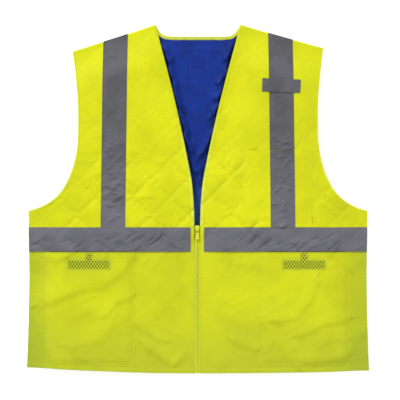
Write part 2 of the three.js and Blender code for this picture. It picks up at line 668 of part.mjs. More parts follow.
function plateOutline() {
  const tail = ZIP_Y - SLIDER.length;
  const corner = halfSlider / 2;
  return [point(ZIP_X - corner, tail), point(ZIP_X + corner, tail), point(ZIP_X + halfSlider, tail + corner),
    point(ZIP_X + halfSlider, ZIP_Y - corner), point(ZIP_X + corner, ZIP_Y), point(ZIP_X - corner, ZIP_Y),
    point(ZIP_X - halfSlider, ZIP_Y - corner), point(ZIP_X - halfSlider, tail + corner)];
}

const bridgeHead = ZIP_Y - BRIDGE.down;
const bridgeTail = bridgeHead - BRIDGE.length;

function slider() {
  const top = prism(plateOutline(), plateLow, plateTop);
  const bottom = prism(plateOutline(), underLow, underLow + SLIDER.plate);
  const post = block(ZIP_X - SLIDER.post / 2, ZIP_X + SLIDER.post / 2, ZIP_Y - SLIDER.post, ZIP_Y,
    underLow, plateTop);
  const half = BRIDGE.width / 2;
  const arch = block(ZIP_X - half, ZIP_X + half, bridgeTail, bridgeHead,
    plateLow, plateTop + BRIDGE.opening + BRIDGE.wall);
  const eye = block(ZIP_X - TALL, ZIP_X + TALL, bridgeTail + BRIDGE.wall, bridgeHead - BRIDGE.wall,
    plateTop, plateTop + BRIDGE.opening);
  return top.add(bottom).add(post).add(arch.subtract(eye));
}
add('zip_slider', slider(), 0xc6cf3a, 0.35);

// The pull: a plate with an eye, whose bar turns under the bridge
const hingeY = bridgeTail + BRIDGE.wall + MOVING_GAP + PULL.bar / 2;
const hingeZ = plateTop + MOVING_GAP + PULL.bar / 2;

function pull() {
  const half = PULL.width / 2;
  const eyeHalf = BRIDGE.width / 2 + PULL.side;
  const end = hingeY - PULL.length + PULL.bar / 2;
  const low = hingeZ - PULL.thick / 2;
  const high = hingeZ + PULL.thick / 2;
  const plate = prism([point(ZIP_X - half, hingeY), point(ZIP_X - half, end + half / 2),
    point(ZIP_X - half / 2, end), point(ZIP_X + half / 2, end), point(ZIP_X + half, end + half / 2),
    point(ZIP_X + half, hingeY)], low, high);
  const eye = block(ZIP_X - eyeHalf, ZIP_X + eyeHalf, hingeY - PULL.eye, hingeY + PULL.bar, -REACH, TALL);
  const bar = new THREE.CylinderGeometry(PULL.bar / 2, PULL.bar / 2, PULL.width, 10);
  bar.rotateZ(Math.PI / 2).translate(ZIP_X, hingeY, hingeZ);
  return plate.subtract(eye).add(solid(bar));
}
add('zip_pull', pull(), 0xd2da4a, 0.35);

export default group;
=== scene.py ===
# A cooling vest, laid on its back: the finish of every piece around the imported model.

import math

import bpy
import numpy as np
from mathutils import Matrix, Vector


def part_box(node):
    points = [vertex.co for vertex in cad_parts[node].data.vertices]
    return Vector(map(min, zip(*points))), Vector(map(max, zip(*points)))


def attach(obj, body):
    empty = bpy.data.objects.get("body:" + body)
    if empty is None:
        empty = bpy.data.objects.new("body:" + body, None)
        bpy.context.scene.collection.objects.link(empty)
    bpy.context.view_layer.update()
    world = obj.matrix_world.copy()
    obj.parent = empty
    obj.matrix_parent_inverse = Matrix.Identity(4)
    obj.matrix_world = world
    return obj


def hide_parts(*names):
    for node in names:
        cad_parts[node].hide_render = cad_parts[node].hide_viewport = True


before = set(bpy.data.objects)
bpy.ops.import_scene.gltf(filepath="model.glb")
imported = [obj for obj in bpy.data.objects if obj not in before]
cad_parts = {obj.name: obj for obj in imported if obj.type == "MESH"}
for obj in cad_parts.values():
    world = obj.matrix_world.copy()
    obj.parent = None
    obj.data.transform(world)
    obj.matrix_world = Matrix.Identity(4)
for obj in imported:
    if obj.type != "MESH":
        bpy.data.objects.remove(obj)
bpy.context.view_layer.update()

# Camera
# The vest is seen from straight above with a long lens, so its outline is hardly
# foreshortened. One pixel of a picture 400 pixels wide is 2.1 mm on the edges of the vest.
MM = 0.001
FRAME_WIDTH = 835 * MM
CAMERA_HEIGHT = 3.2
CAMERA_AIM = (4.2 * MM, -2.9 * MM, 24 * MM)

scene = bpy.context.scene


def in_scene(name, data):
    """A new object, in the scene."""
    made = bpy.data.objects.new(name, data)
    scene.collection.objects.link(made)
    return made


camera_data = bpy.data.cameras.new("camera")
camera_data.sensor_width = 36
camera_data.lens = camera_data.sensor_width * CAMERA_HEIGHT / FRAME_WIDTH
camera = in_scene("camera", camera_data)
camera.location = Vector(CAMERA_AIM) + Vector((0, 0, CAMERA_HEIGHT))
scene.camera = camera

# Quilted back
# Two layers of lime polyester with a thin wadding between, quilted in diamonds. The back is cut
# in one piece from the waist seam to the shoulders, and the vest lies on its outer face. All
# lengths are millimetres in the frame's axes, and left and right are the wearer's.
LOW, HIGH = 0, 1
X, Y, Z = 0, 1, 2


def corner(node, end, axis):
    """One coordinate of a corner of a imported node's box, in millimetres."""
    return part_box(node)[end][axis] / MM


NECK_Y = corner("back_upper", HIGH, Y)
HEM_Y = corner("back_lower", LOW, Y)
HEM_HALF = corner("back_lower", HIGH, X)
ARMPIT_HALF = corner("back_upper", HIGH, X)
ARMPIT_DROP = 391
ARMPIT_Y = NECK_Y - ARMPIT_DROP
CHEST_HALF = 250
SHOULDER_HALF = 262.5
NECK_HALF = 89
SIDE_HOLLOW = 3
WAIST_TOP = corner("waist_tape_back", HIGH, Y)
WAIST_LOW = corner("waist_tape_back", LOW, Y)
WAIST_SEAM = (WAIST_TOP + WAIST_LOW) / 2

SIDES = {
    "right": {
        "sign": -1, "shoulder_drop": 56, "hem_lift": 11, "quilt_x": -98, "quilt_y": 41,
        "span": (-340, -30),
    },
    "left": {
        "sign": 1, "shoulder_drop": 49, "hem_lift": 4, "quilt_x": 68, "quilt_y": 46,
        "span": (30, 340),
    },
}
RIGHT, LEFT = SIDES["right"], SIDES["left"]
BOTH = [("right", -1, RIGHT), ("left", 1, LEFT)]
# Armhole: share of the drop from shoulder tip to armpit, share of the way out to the armpit.
ARMHOLE_DOWN = [0, 0.17, 0.32, 0.47, 0.6, 0.71, 0.81, 0.88, 0.925, 0.955, 0.98, 1]
ARMHOLE_OUT = [0.118, 0.045, 0.004, 0, 0.02, 0.09, 0.21, 0.345, 0.49, 0.63, 0.8, 1]
# Back neck: share of the way out to the neck point, and the drop below it.
BACK_NECK_OUT = [0, 0.33, 0.66, 0.8, 0.91, 1]
BACK_NECK_DROP = [24.7, 24.5, 24, 21.6, 13.2, 0]
QUILT_PERIOD = 77
# Waves that make up a patch of smooth noise.
WAVES = 18


def smoothstep(value, start, end):
    """0 up to start, 1 from end, and a smooth rise between."""
    share = np.clip((value - start) / (end - start), 0, 1)
    return share * share * (3 - 2 * share)


def bell(value, width, power=2):
    """1 at zero, falling to 0 past a width on both sides."""
    return np.exp(-((value / width) ** power))


def smooth_table(shares, values):
    """A smooth function through a short table, as a cubic with matched slopes."""
    s, v = np.array(shares, float), np.array(values, float)
    slope = np.gradient(v, s)
    fine = np.linspace(s[0], s[-1], 400)
    k = np.clip(np.searchsorted(s, fine, side="right") - 1, 0, len(s) - 2)
    width = s[k + 1] - s[k]
    t = (fine - s[k]) / width
    curve = (
        (2 * t**3 - 3 * t**2 + 1) * v[k]
        + (t**3 - 2 * t**2 + t) * width * slope[k]
        + (3 * t**2 - 2 * t**3) * v[k + 1]
        + (t**3 - t**2) * width * slope[k + 1]
    )
    return lambda share: np.interp(share, fine, curve)


armhole_out = smooth_table(ARMHOLE_DOWN, ARMHOLE_OUT)
back_neck_drop = smooth_table(BACK_NECK_OUT, BACK_NECK_DROP)


def outer_x(side, y):
    """Distance from the middle to the armhole or the side fold at a height."""
    tip = NECK_Y - side["shoulder_drop"]
    hem = HEM_Y + side["hem_lift"]
    armhole = CHEST_HALF + armhole_out((tip - y) / (tip - ARMPIT_Y)) * (ARMPIT_HALF - CHEST_HALF)
    down = np.clip((ARMPIT_Y - y) / (ARMPIT_Y - hem), 0, 1)
    bow = (ARMPIT_HALF + HEM_HALF) / 2 - 2 * SIDE_HOLLOW
    fold = (1 - down) ** 2 * ARMPIT_HALF + 2 * down * (1 - down) * bow + down**2 * HEM_HALF
    return np.where(y > ARMPIT_Y, armhole, fold)


def both_sides(x, function):
    """A function of the side, taken on each side of the middle."""
    return np.where(x < 0, function(RIGHT), function(LEFT))


def across_back(u, y, inset=0):
    """Place across the back for a share of the way out to each side."""
    return u * (both_sides(u + 0 * y, lambda side: outer_x(side, y)) - inset)


def shoulder_y(side, x):
    """Height of the shoulder seam at a place across."""
    slope = side["shoulder_drop"] / (SHOULDER_HALF - NECK_HALF)
    return NECK_Y - (np.abs(x) - NECK_HALF) * slope


def back_top(x):
    """Upper edge of the back: the shoulder seams, and the neck between them."""
    neck = NECK_Y - back_neck_drop(np.clip(np.abs(x) / NECK_HALF, 0, 1))
    return np.where(np.abs(x) > NECK_HALF, both_sides(x, lambda side: shoulder_y(side, x)), neck)


def quilt_lines(side, x, y):
    """Distance to the nearest quilting line of each direction, and the place along it."""
    falling = (x - side["quilt_x"]) + (y - side["quilt_y"])
    rising = (x - side["quilt_x"]) - (y - side["quilt_y"])
    reach = QUILT_PERIOD / math.sqrt(2)
    away = [np.abs((line / QUILT_PERIOD + 0.5) % 1 - 0.5) * reach for line in (falling, rising)]
    return away, [rising / math.sqrt(2), falling / math.sqrt(2)]


def ripple(x, y, length, seed):
    """Smooth noise of one wavelength and of about unit height."""
    random = np.random.default_rng(seed)
    height = 0.0 * (x + y)
    for _ in range(WAVES):
        turn = random.uniform(0, math.tau)
        number = math.tau / (length * random.uniform(0.7, 1.5))
        phase = random.uniform(0, math.tau)
        height = height + np.sin(number * (x * math.cos(turn) + y * math.sin(turn)) + phase)
    return height / math.sqrt(WAVES / 2)


def spaced(length, step, edge=2.4):
    """Distances along a length: fine near both ends, with even steps between."""
    fine = [0, 0.25, 0.7, 1.4]
    count = max(2, int(round((length - 2 * edge) / step)))
    middle = np.linspace(edge, length - edge, count + 1)
    return np.concatenate([fine, middle, [length - f for f in reversed(fine)]])


def mesh_piece(name, points, edges, faces):
    """A new mesh object from its points, in metres."""
    mesh = bpy.data.meshes.new(name)
    mesh.from_pydata(points, edges, faces)
    return in_scene(name, mesh)


def cloth(node, material, x, y, top, under, edge):
    """A closed piece of cloth for a node, between two heights over a grid, with round edges."""
    rows, columns = x.shape
    borders = np.s_[:, :1], np.s_[:, -1:], np.s_[:1], np.s_[-1:]
    ends = [np.hypot(x - x[border], y - y[border]) for border in borders]
    inside = np.clip(np.minimum.reduce(ends) / edge, 0, 1)
    full = np.sqrt(np.clip(1 - (1 - inside) ** 2, 0, 1))
    middle, half = (top + under) / 2, (top - under) / 2 * full
    upper = np.arange(rows * columns).reshape(rows, columns)
    lower = upper.copy()
    lower[1:-1, 1:-1] = rows * columns + np.arange((rows - 2) * (columns - 2)).reshape(rows - 2, -1)
    above = np.stack([x, y, middle + half], -1).reshape(-1, 3)
    below = np.stack([x, y, middle - half], -1)[1:-1, 1:-1].reshape(-1, 3)

    def quads(index):
        corners = [index[:-1, :-1], index[:-1, 1:], index[1:, 1:], index[1:, :-1]]
        return np.stack(corners, -1).reshape(-1, 4)

    face_up, face_down = quads(upper), quads(lower)[:, ::-1]
    row, column = rows // 2, columns // 2
    across = (x[row, column + 1] - x[row, column], y[row, column + 1] - y[row, column])
    up = (x[row + 1, column] - x[row, column], y[row + 1, column] - y[row, column])
    if across[0] * up[1] < across[1] * up[0]:
        face_up, face_down = face_up[:, ::-1], face_down[:, ::-1]
    points = np.concatenate([above, below]) * MM
    faces = np.concatenate([face_up, face_down])
    piece = mesh_piece(f"{node}_cloth", points.tolist(), [], faces.tolist())
    piece.data.shade_smooth()
    return fitted(piece, material, node)


def fitted(piece, material, *nodes, body="vest"):
    """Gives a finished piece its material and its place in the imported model."""
    piece.data.materials.clear()
    piece.data.materials.append(material)
    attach(piece, body)
    if nodes:
        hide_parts(*nodes)
    return piece


class Wire:
    """A shader socket that can be used in a Python expression."""

    def __init__(self, tree, socket):
        self.tree, self.socket = tree, socket

    def node(self, kind, settings=(), inputs=(), output=0):
        """Any node: its type, its settings, and the values or links of its sockets."""
        made = self.tree.nodes.new(kind)
        for key, value in dict(settings).items():
            setattr(made, key, value)
        for key, value in dict(inputs).items():
            if isinstance(value, Wire):
                self.tree.links.new(value.socket, made.inputs[key])
            else:
                made.inputs[key].default_value = value
        return Wire(self.tree, made.outputs[output])

    def maths(self, operation, *values):
        return self.node("ShaderNodeMath", {"operation": operation}, dict(enumerate(values)))

    def size(self):
        return self.maths("ABSOLUTE", self)

    def __add__(self, other):
        return self.maths("ADD", self, other)

    def __sub__(self, other):
        return self.maths("SUBTRACT", self, other)

    def __rsub__(self, other):
        return self.maths("SUBTRACT", other, self)

    def __mul__(self, other):
        return self.maths("MULTIPLY", self, other)

    __radd__, __rmul__ = __add__, __mul__

    def sine(self):
        return self.maths("SINE", self)

    def cycle(self, period):
        """Distance to the nearest whole period, from 0 to half of it."""
        return self.maths("PINGPONG", self, period / 2)

    def between(self, start, end):
        """A smooth rise from 0 at start to 1 at end."""
        values = {"Value": self, "From Min": start, "From Max": end}
        return self.node("ShaderNodeMapRange", {"interpolation_type": "SMOOTHSTEP"}, values)

    def mix(self, low, high):
        """A colour between two, by this share."""
        return self.node("ShaderNodeMix", {"data_type": "RGBA"}, {0: self, 6: low, 7: high}, 2)

    def patches(self, size, detail, low, high, spread=0.15):
        """Soft patches of two colours over the surface."""
        return self.noise(size, detail).between(0.5 - spread, 0.5 + spread).mix(low, high)

    def noise(self, size, detail):
        """Soft noise over the surface, from the place. Its patches are size millimetres wide."""
        values = {"Vector": self, "Scale": 1 / (size * MM), "Detail": detail}
        return self.node("ShaderNodeTexNoise", {}, values, "Fac")


def paint(red, green, blue):
    """A colour from its display values, 0 to 255."""
    shares = [value / 255 for value in (red, green, blue)]
    return tuple(s / 12.92 if s < 0.04045 else ((s + 0.055) / 1.055) ** 2.4 for s in shares) + (1.0,)


def finish(name, roughness, colour, relief, depth, sheen=0.0, alpha=None):
    """A material whose colour and relief are functions of the place, in millimetres."""
    material = bpy.data.materials.new(name)
    material.use_nodes = True
    tree = material.node_tree
    shader = tree.nodes["Principled BSDF"]
    shader.inputs["Roughness"].default_value = roughness
    shader.inputs["Sheen Weight"].default_value = sheen
    shader.inputs["Sheen Roughness"].default_value = 0.5
    shader.inputs["Specular IOR Level"].default_value = 0.2
    place = Wire(tree, tree.nodes.new("ShaderNodeTexCoord").outputs["Object"])
    x, y, z = [place.node("ShaderNodeSeparateXYZ", {}, {0: place}, axis) * 1000 for axis in range(3)]
    links = {"Base Color": colour(place, x, y, z)}
    if alpha is not None:
        links["Alpha"] = alpha(place, x, y, z)
    values = {"Strength": 1.0, "Distance": depth * MM, "Height": relief(place, x, y, z)}
    links["Normal"] = place.node("ShaderNodeBump", {}, values)
    for socket, wire in links.items():
        tree.links.new(wire.socket, shader.inputs[socket])
    return material


def plain_weave(x, y, pitch):
    """Height of a plain weave, about 0 to 1."""
    turn = math.pi / pitch
    return (x * turn).sine() * (y * turn).sine() * 0.5 + 0.5


LIME = paint(221, 224, 8)
LIME_SHADE = paint(209, 213, 8)
# Painted shade for the quilted lime, beside the armholes and high on the left chest.
LIME_PAINTED_SHADE = paint(198, 204, 12)


def quilt_colour(p, x, y, z):
    """Lime, with painted shade beside the armholes and high on the left of the chest."""
    # Painted shade: darker towards both armholes, and high on the left of the chest.
    edge = (0 - x).between(150, 340) * 0.5 + x.between(200, 340) * 0.28
    edge += x.between(40, 150) * y.between(20, 150) * 0.3
    return edge.mix(p.patches(60, 3, LIME_SHADE, LIME), LIME_PAINTED_SHADE)


quilt_cloth = finish(
    "quilted lime polyester", 0.6, quilt_colour,
    lambda p, x, y, z: plain_weave(x + y, x - y, 0.9) * 0.6 + p.noise(7, 3) * 2.2,
    0.16,
)

BACK_WADDING = 4.8
u = spaced(2 * HEM_HALF, 5)[None, :] / HEM_HALF - 1
v = spaced(450, 4)[:, None] / 450
y = WAIST_SEAM + (back_top(u * SHOULDER_HALF) - WAIST_SEAM) * v
x = across_back(u, y)
away = quilt_lines(RIGHT, x, y)[0]
seam = np.maximum(np.exp(-away[0] / 5), np.exp(-away[1] / 5))
back = cloth("back_upper", quilt_cloth, x, y, BACK_WADDING + 0 * x, 1.5 * seam, 2.2)

# Lining
# Blue nylon, sewn in at the neck and the shoulders. It shows only in the V of the neck, where
# it hangs in soft folds, ragged beside the edges. A square of stitching holds a bare patch.
BAND = 8
# Width of the steep flank of a crease, as a share of its width.
STEEP = 0.6
PATCH_X, PATCH_Y, PATCH_HALF = 1, 289, 17.5
LINING_Z = 5.6
LINING_BLUE = paint(4, 47, 142)
LINING_DARK = paint(4, 40, 126)
# Painted shadow beside the edges of the V, and painted light for the bottom of the V.
LINING_PAINTED_SHADOW = paint(4, 28, 84)
LINING_PAINTED_LIGHT = paint(58, 108, 214)
V_MIDDLE, V_BOTTOM, V_DROP = -1.5, -54, 419
# Folds of the lining beside the V neck, from one point to the next: height and half width.
LINING_FOLDS = [
    ([(-73, 335), (-58, 268), (-45, 215), (-38, 178), (-24, 127), (-14, 97), (-8, 58)], 8, 5),
    ([(72, 330), (57, 262), (47, 215), (38, 180)], 4, 6),
    ([(-80, 322), (-61, 284)], 6, 4),
    ([(-64, 272), (-48, 240)], 5, 4),
    ([(-54, 224), (-30, 182)], 7, 4),
    ([(-44, 182), (-23, 142)], 7, 4),
    ([(-29, 136), (-14, 98)], 6, 4),
    ([(66, 302), (52, 288)], 6, 4),
    ([(60, 262), (45, 245)], 6, 4),
    ([(51, 226), (36, 207)], 6, 4),
    ([(40, 188), (25, 169)], 6, 4),
    ([(6, 92), (22, 118), (34, 140)], 7, 4),
    ([(3, 66), (7, 20), (4, -20)], 3, 4),
    ([(4, 312), (30, 313), (52, 306)], 1.2, 5),
]


def sheet(piece, width, length, *rests_on, held="laid", cut=1.0):
    """Works out a sheet of cloth's flat size in metres and its cut area, from its width and length in
    millimetres; nothing is kept.
    """
    width, length = width * MM, length * MM
    area = None if cut == 1 else cut * width * length


def wrinkles(x, y, seed, count, area, headings, length, width, height):
    """Many short ridges with soft ends, each steeper on its lower side."""
    random = np.random.default_rng(seed)
    total = 0.0 * (x + y)
    for _ in range(count):
        middle = random.uniform(area[0], area[1]), random.uniform(area[2], area[3])
        turn = math.radians(random.choice(headings) + random.normal(0, 12))
        half_length = random.uniform(*length) / 2
        wide = random.uniform(*width)
        high = random.uniform(*height)
        bend = random.normal(0, 0.12)
        dx, dy = x - middle[0], y - middle[1]
        along = (dx * math.cos(turn) + dy * math.sin(turn)) / half_length
        across = dy * math.cos(turn) - dx * math.sin(turn) - bend * half_length * along**2
        profile = bell(across, wide * np.where(across > 0, 2 - STEEP, STEEP))
        total += np.where(np.abs(along) < 1, high * (1 - along**2) ** 2 * profile, 0)
    return total


def distance_to_run(x, y, start, end):
    """Distance to a straight run."""
    along = np.array(end, float) - np.array(start, float)
    t = np.clip(((x - start[0]) * along[0] + (y - start[1]) * along[1]) / (along @ along), 0, 1)
    return np.hypot(x - start[0] - t * along[0], y - start[1] - t * along[1])


def long_folds(folds, x, y, jag=0.0):
    """Long soft folds along runs of points, each steeper on its lower side."""
    height = 0.0 * (x + y)
    for run, high, wide in folds:
        best = 1e9 + 0 * height
        turn = 0 * height
        for start, end in zip(run, run[1:]):
            away = distance_to_run(x, y, start, end)
            turned = (end[0] - start[0]) * (y - start[1]) - (end[1] - start[1]) * (x - start[0])
            turn = np.where(away < best, turned, turn)
            best = np.minimum(best, away)
        below = turn * (run[-1][0] - run[0][0]) < 0
        best = np.abs(best + jag * ripple(x, y, 22, 33))
        height = height + high * bell(best, wide * np.where(below, STEEP, 1.5))
    return height


def lining_colour(p, x, y, z):
    """Blue, with painted shadow close to the edges of the V, and painted light low down, where little light
    comes.
    """
    share = x.maths("MAXIMUM", (y - V_BOTTOM) * (1 / V_DROP), 0)
    edge = x.maths("POWER", share, 1.3) * NECK_HALF
    inside = edge - (x - V_MIDDLE).size() + (p.noise(16, 3) - 0.5) * 24
    blue = p.patches(40, 3, LINING_DARK, LINING_BLUE)
    # Painted light low in the V, where little light comes.
    blue = (1 - y.between(-30, 45)).mix(blue, LINING_PAINTED_LIGHT)
    # Painted shadow along the edges of the V, weaker low down.
    shadow_share = (0.75 - inside.between(1, 8) * 0.75) * (y.between(-40, 60) * 0.8 + 0.2)
    return shadow_share.mix(blue, LINING_PAINTED_SHADOW)


lining_cloth = finish(
    "blue nylon lining", 0.62, lining_colour,
    lambda p, x, y, z: plain_weave(x, y, 0.5) * 0.5 + p.noise(9, 3) * 2,
    0.1, sheen=0.04,
)
u = spaced(2 * HEM_HALF, 3)[None, :] / HEM_HALF - 1
v = spaced(440, 3)[:, None] / 440
y = WAIST_SEAM + (back_top(u * SHOULDER_HALF) - BAND + 2 - WAIST_SEAM) * v
x = across_back(u, y, 2)
folds = wrinkles(x, y, 7, 26, (-80, 80, -40, 330), [82, 98, 105], (90, 220), (5, 11), (0.4, 1.4))
folds += wrinkles(x, y, 8, 30, (-75, 75, 60, 335), [70, 110, 20], (15, 50), (2, 5), (0.2, 0.6))
folds += 0.25 * ripple(x, y, 60, 9) + long_folds(LINING_FOLDS, x, y, jag=1.6)
folds *= smoothstep(back_top(x) - y, 8, 34)
# The bare patch: a stitched square, rounded at its corners.
aside, above = np.abs(x - PATCH_X), np.abs(y - PATCH_Y)
patch = np.maximum(aside, above) * 0.6 + np.hypot(aside, above) * 0.4
folds += 0.35 * (1 - smoothstep(patch, 14, 17)) - 0.6 * bell(patch - PATCH_HALF, 1.6)
under_edge = smoothstep(y, WAIST_TOP - 10, WAIST_TOP + 60)
lining = cloth("back_lining", lining_cloth, x, y, LINING_Z + folds * under_edge, 4.9 + 0 * x, 0.8)
sheet(lining, 711, 440, "back_upper", cut=0.8)

# Fronts
# Each front is a quilted chest panel, sewn at the shoulder, with a mesh skirt panel below the
# waist seam. The empty vest still holds a little room where a body would be.
ZIP_X = (corner("zip_chain", LOW, X) + corner("zip_chain", HIGH, X)) / 2
ZIP_Y = corner("zip_slider", HIGH, Y)
ZIP_EDGE = 6
ROOM_TOP = corner("zip_chain", LOW, Z)
BODY_ROOM = 14
SKIRT_SEAM_Z = 2.3
TAPE_HALF = (WAIST_TOP - WAIST_LOW) / 2
TAPE_OUT = 172.5
# V neck: share of the drop from neck point to zip, share of the way out to the neck point.
NECK_DOWN = [0, 0.065, 0.2, 0.35, 0.515, 0.67, 0.78, 0.885, 1]
NECK_OUT = [1, 0.918, 0.736, 0.54, 0.344, 0.178, 0.072, 0.022, 0]
QUILT_SEAM = 2.9
QUILT_PUFF = 3.6
neck_out = smooth_table(NECK_DOWN, NECK_OUT)


def inner_x(side, y):
    """Signed place of a front's edge along the V neck and the zip."""
    down = np.clip((NECK_Y - y) / (NECK_Y - ZIP_Y), 0, 1)
    zip_edge = ZIP_X + side["sign"] * ZIP_EDGE
    return zip_edge + neck_out(down) * (side["sign"] * NECK_HALF - zip_edge)


def front_under(x, y):
    """Underside of the fronts, over the room that the body leaves."""
    share = 1.0 + 0.0 * (x + y)
    for side in SIDES.values():
        sign = side["sign"]
        neck_point = (sign * NECK_HALF, NECK_Y)
        tip = (sign * SHOULDER_HALF, NECK_Y - side["shoulder_drop"])
        fold = (sign * ARMPIT_HALF, ARMPIT_Y), (sign * HEM_HALF, HEM_Y - 40)
        share = share * smoothstep(distance_to_run(x, y, *fold), 8, 100)
        share = share * smoothstep(distance_to_run(x, y, neck_point, tip), 6, 85)
        lapel = 1 - smoothstep(distance_to_run(x, y, neck_point, (ZIP_X, ZIP_Y)), 0, 80)
        lapel = lapel * smoothstep(y, ZIP_Y + 19, ZIP_Y + 195) * (sign * x > 0)
        share = share * (1 - 0.4 * lapel)
    rise = smoothstep(y, WAIST_SEAM - 77, WAIST_SEAM - 39)
    seam = SKIRT_SEAM_Z + (ROOM_TOP - BODY_ROOM - SKIRT_SEAM_Z) * rise
    return seam + (ROOM_TOP - seam) * share


def tape_x(y):
    """Middle of a front's vertical tape, as a distance from the middle of the vest."""
    return TAPE_OUT + 5 * (NECK_Y - y) / (NECK_Y - WAIST_TOP)


def quilting(side, x, y):
    """Thickness of a quilted front: puffs that pucker along the lines, and buckle low down."""
    away, along = quilt_lines(side, x, y)
    seed = 100 + side["sign"]
    loose = 0.2 + 0.8 * smoothstep(-y, -200, -10) * (1 - 0.4 * smoothstep(np.abs(x), 190, 240))
    pillow = (1 - np.exp(-away[0] / 6)) * (1 - np.exp(-away[1] / 6))
    pucker = sum(
        np.exp(-away[k] / 5) * (ripple(along[k], 0, 11, seed + k) + 0.8 * ripple(x, y, 16, seed + 4))
        for k in range(2)
    )
    tuck = 0.8 + 0.35 * ripple(x, y, 110, seed + 7)
    span = side["span"]
    dents = wrinkles(
        x, y, seed + 9, 60, (*span, WAIST_TOP, 190), [-38, 42, 5, 60], (25, 70), (3, 7), (0.7, 2.4)
    )
    under_tape = 1 - smoothstep(np.abs(np.abs(x) - tape_x(y)), TAPE_HALF - 3, TAPE_HALF + 8)
    soft = QUILT_PUFF * pillow * tuck + 0.36 * pucker + dents * pillow
    soft = soft * (1 - 0.7 * under_tape) + 1.4 * under_tape
    return QUILT_SEAM + loose * soft + 0.5 * ripple(x, y, 120, seed + 5)


# Folds of the skirt, from one point to the next, with their height and half width.
SKIRT_FOLDS = [
    ([(-330, -222), (-252, -190), (-202, -181), (-165, -155), (-137, -120)], 3.6, 17),
    ([(-190, -240), (-172, -216), (-145, -207)], 2.8, 11),
    ([(-267, -306), (-202, -296), (-178, -258)], 2.2, 16),
    ([(-352, -232), (-326, -285), (-300, -345)], 3.6, 14),
    ([(-128, -262), (-98, -284), (-70, -296)], 2.8, 11),
    ([(-108, -308), (-53, -346), (-20, -322)], 3.6, 12),
    ([(-72, -270), (-28, -290)], 1.8, 10),
    ([(-330, -118), (-296, -128), (-262, -112)], 2.4, 10),
    ([(247, -172), (232, -212), (204, -246), (165, -254)], 3.4, 14),
    ([(312, -252), (263, -260), (212, -284)], 3.2, 13),
    ([(135, -256), (155, -279), (179, -315), (208, -352)], 3.6, 14),
    ([(76, -298), (120, -315)], 2.2, 10),
    ([(12, -308), (42, -350)], 2.4, 10),
    ([(240, -342), (310, -330)], 3, 13),
    ([(280, -112), (315, -146)], 2.6, 11),
    ([(300, -295), (345, -285)], 1.6, 12),
]


def drape(side, x, y):
    """Everything soft that the skirt does between its seams."""
    seed = 50 + side["sign"]
    height = long_folds(SKIRT_FOLDS, x, y)
    span = side["span"]
    height += wrinkles(
        x, y, seed, 34, (*span, HEM_Y + 20, WAIST_LOW), [35, -40, 60], (40, 110), (6, 12), (0.3, 1.1)
    )
    height += wrinkles(
        x, y, seed + 1, 26, (*span, WAIST_LOW - 30, WAIST_LOW), [60, 120, 90], (20, 50), (4, 8), (0.4, 1.2)
    )
    height += 0.7 * ripple(x, y, 150, seed + 2) + 0.25 * ripple(x, y, 50, seed + 3)
    return height * smoothstep(np.abs(x - ZIP_X), 8, 45)


def waist_creases(x, y):
    """Diagonal creases that run through the waist tape and the cloth under it."""
    creases = wrinkles(
        x, y, 70, 40, (-350, 350, WAIST_LOW, WAIST_SEAM + 8), [30, 38, 50], (32, 85), (1.4, 2.8), (-3.4, -1.4)
    )
    creases += wrinkles(
        x, y, 71, 34, (-350, 350, WAIST_LOW, WAIST_SEAM + 12), [28, 40, -35], (32, 85), (3, 6), (0.8, 2.4)
    )
    across = bell(y - WAIST_SEAM, TAPE_HALF, 4)
    return (1.3 + creases) * across * smoothstep(np.abs(x - ZIP_X), 12, 40)


def front_top(side, x, y):
    """Outer face of a front: quilting above the waist seam, and the draped skirt below."""
    upper = smoothstep(y, WAIST_LOW + 8, WAIST_TOP - 6)
    skirt = 1.6 + drape(side, x, y)
    soft = skirt * (1 - upper) + quilting(side, x, y) * upper + waist_creases(x, y)
    return front_under(x, y) + np.maximum(soft, 0.6)


for name, sign, side in BOTH:
    u = spaced(250, 2.2)[None, :] / 250
    v = spaced(430, 2.2)[:, None] / 430
    top_x = sign * (NECK_HALF + (SHOULDER_HALF - NECK_HALF) * u)
    y = WAIST_SEAM - 3 + (shoulder_y(side, top_x) - WAIST_SEAM + 3) * v
    inner, outer = inner_x(side, y), sign * outer_x(side, y)
    x = inner + (outer - inner) * u
    node = f"front_upper_{name}"
    panel = cloth(node, quilt_cloth, x, y, front_top(side, x, y), front_under(x, y), 2.8)

# Mesh skirt
# Knitted polyester mesh with small staggered holes, its hem folded up and stitched. The back
# skirt lies flat, and the fronts drape over it in soft folds.
POCKET_IN = 130
POCKET_OUT = 321
POCKET_LOW = 14
POCKET_FADE = 20
HOLE_PITCH = 6.1
HOLE_ROW = 4.4
HOLE = 1.35
MESH_LIME = paint(212, 218, 20)
MESH_SHADE = paint(200, 207, 22)
# Painted shadow for the holes, under the waist tape and along the rim, and painted shade for the sides, the
# hem and the closure strips.
MESH_PAINTED_SHADOW = paint(124, 136, 12)
MESH_PAINTED_SHADE = paint(174, 188, 44)


def holes(x, y, size=HOLE):
    """1 in the staggered holes of the mesh, 0 on its threads."""
    nearest = []
    for shift in (0, 1):
        aside = (x + shift * HOLE_PITCH / 2).cycle(HOLE_PITCH)
        along = (y + shift * HOLE_ROW).cycle(2 * HOLE_ROW)
        place = x.node("ShaderNodeCombineXYZ", {}, {0: aside, 1: along})
        nearest.append(x.node("ShaderNodeVectorMath", {"operation": "LENGTH"}, {0: place}, 1))
    return 1 - x.maths("MINIMUM", *nearest).between(size * 0.8, size * 1.15)


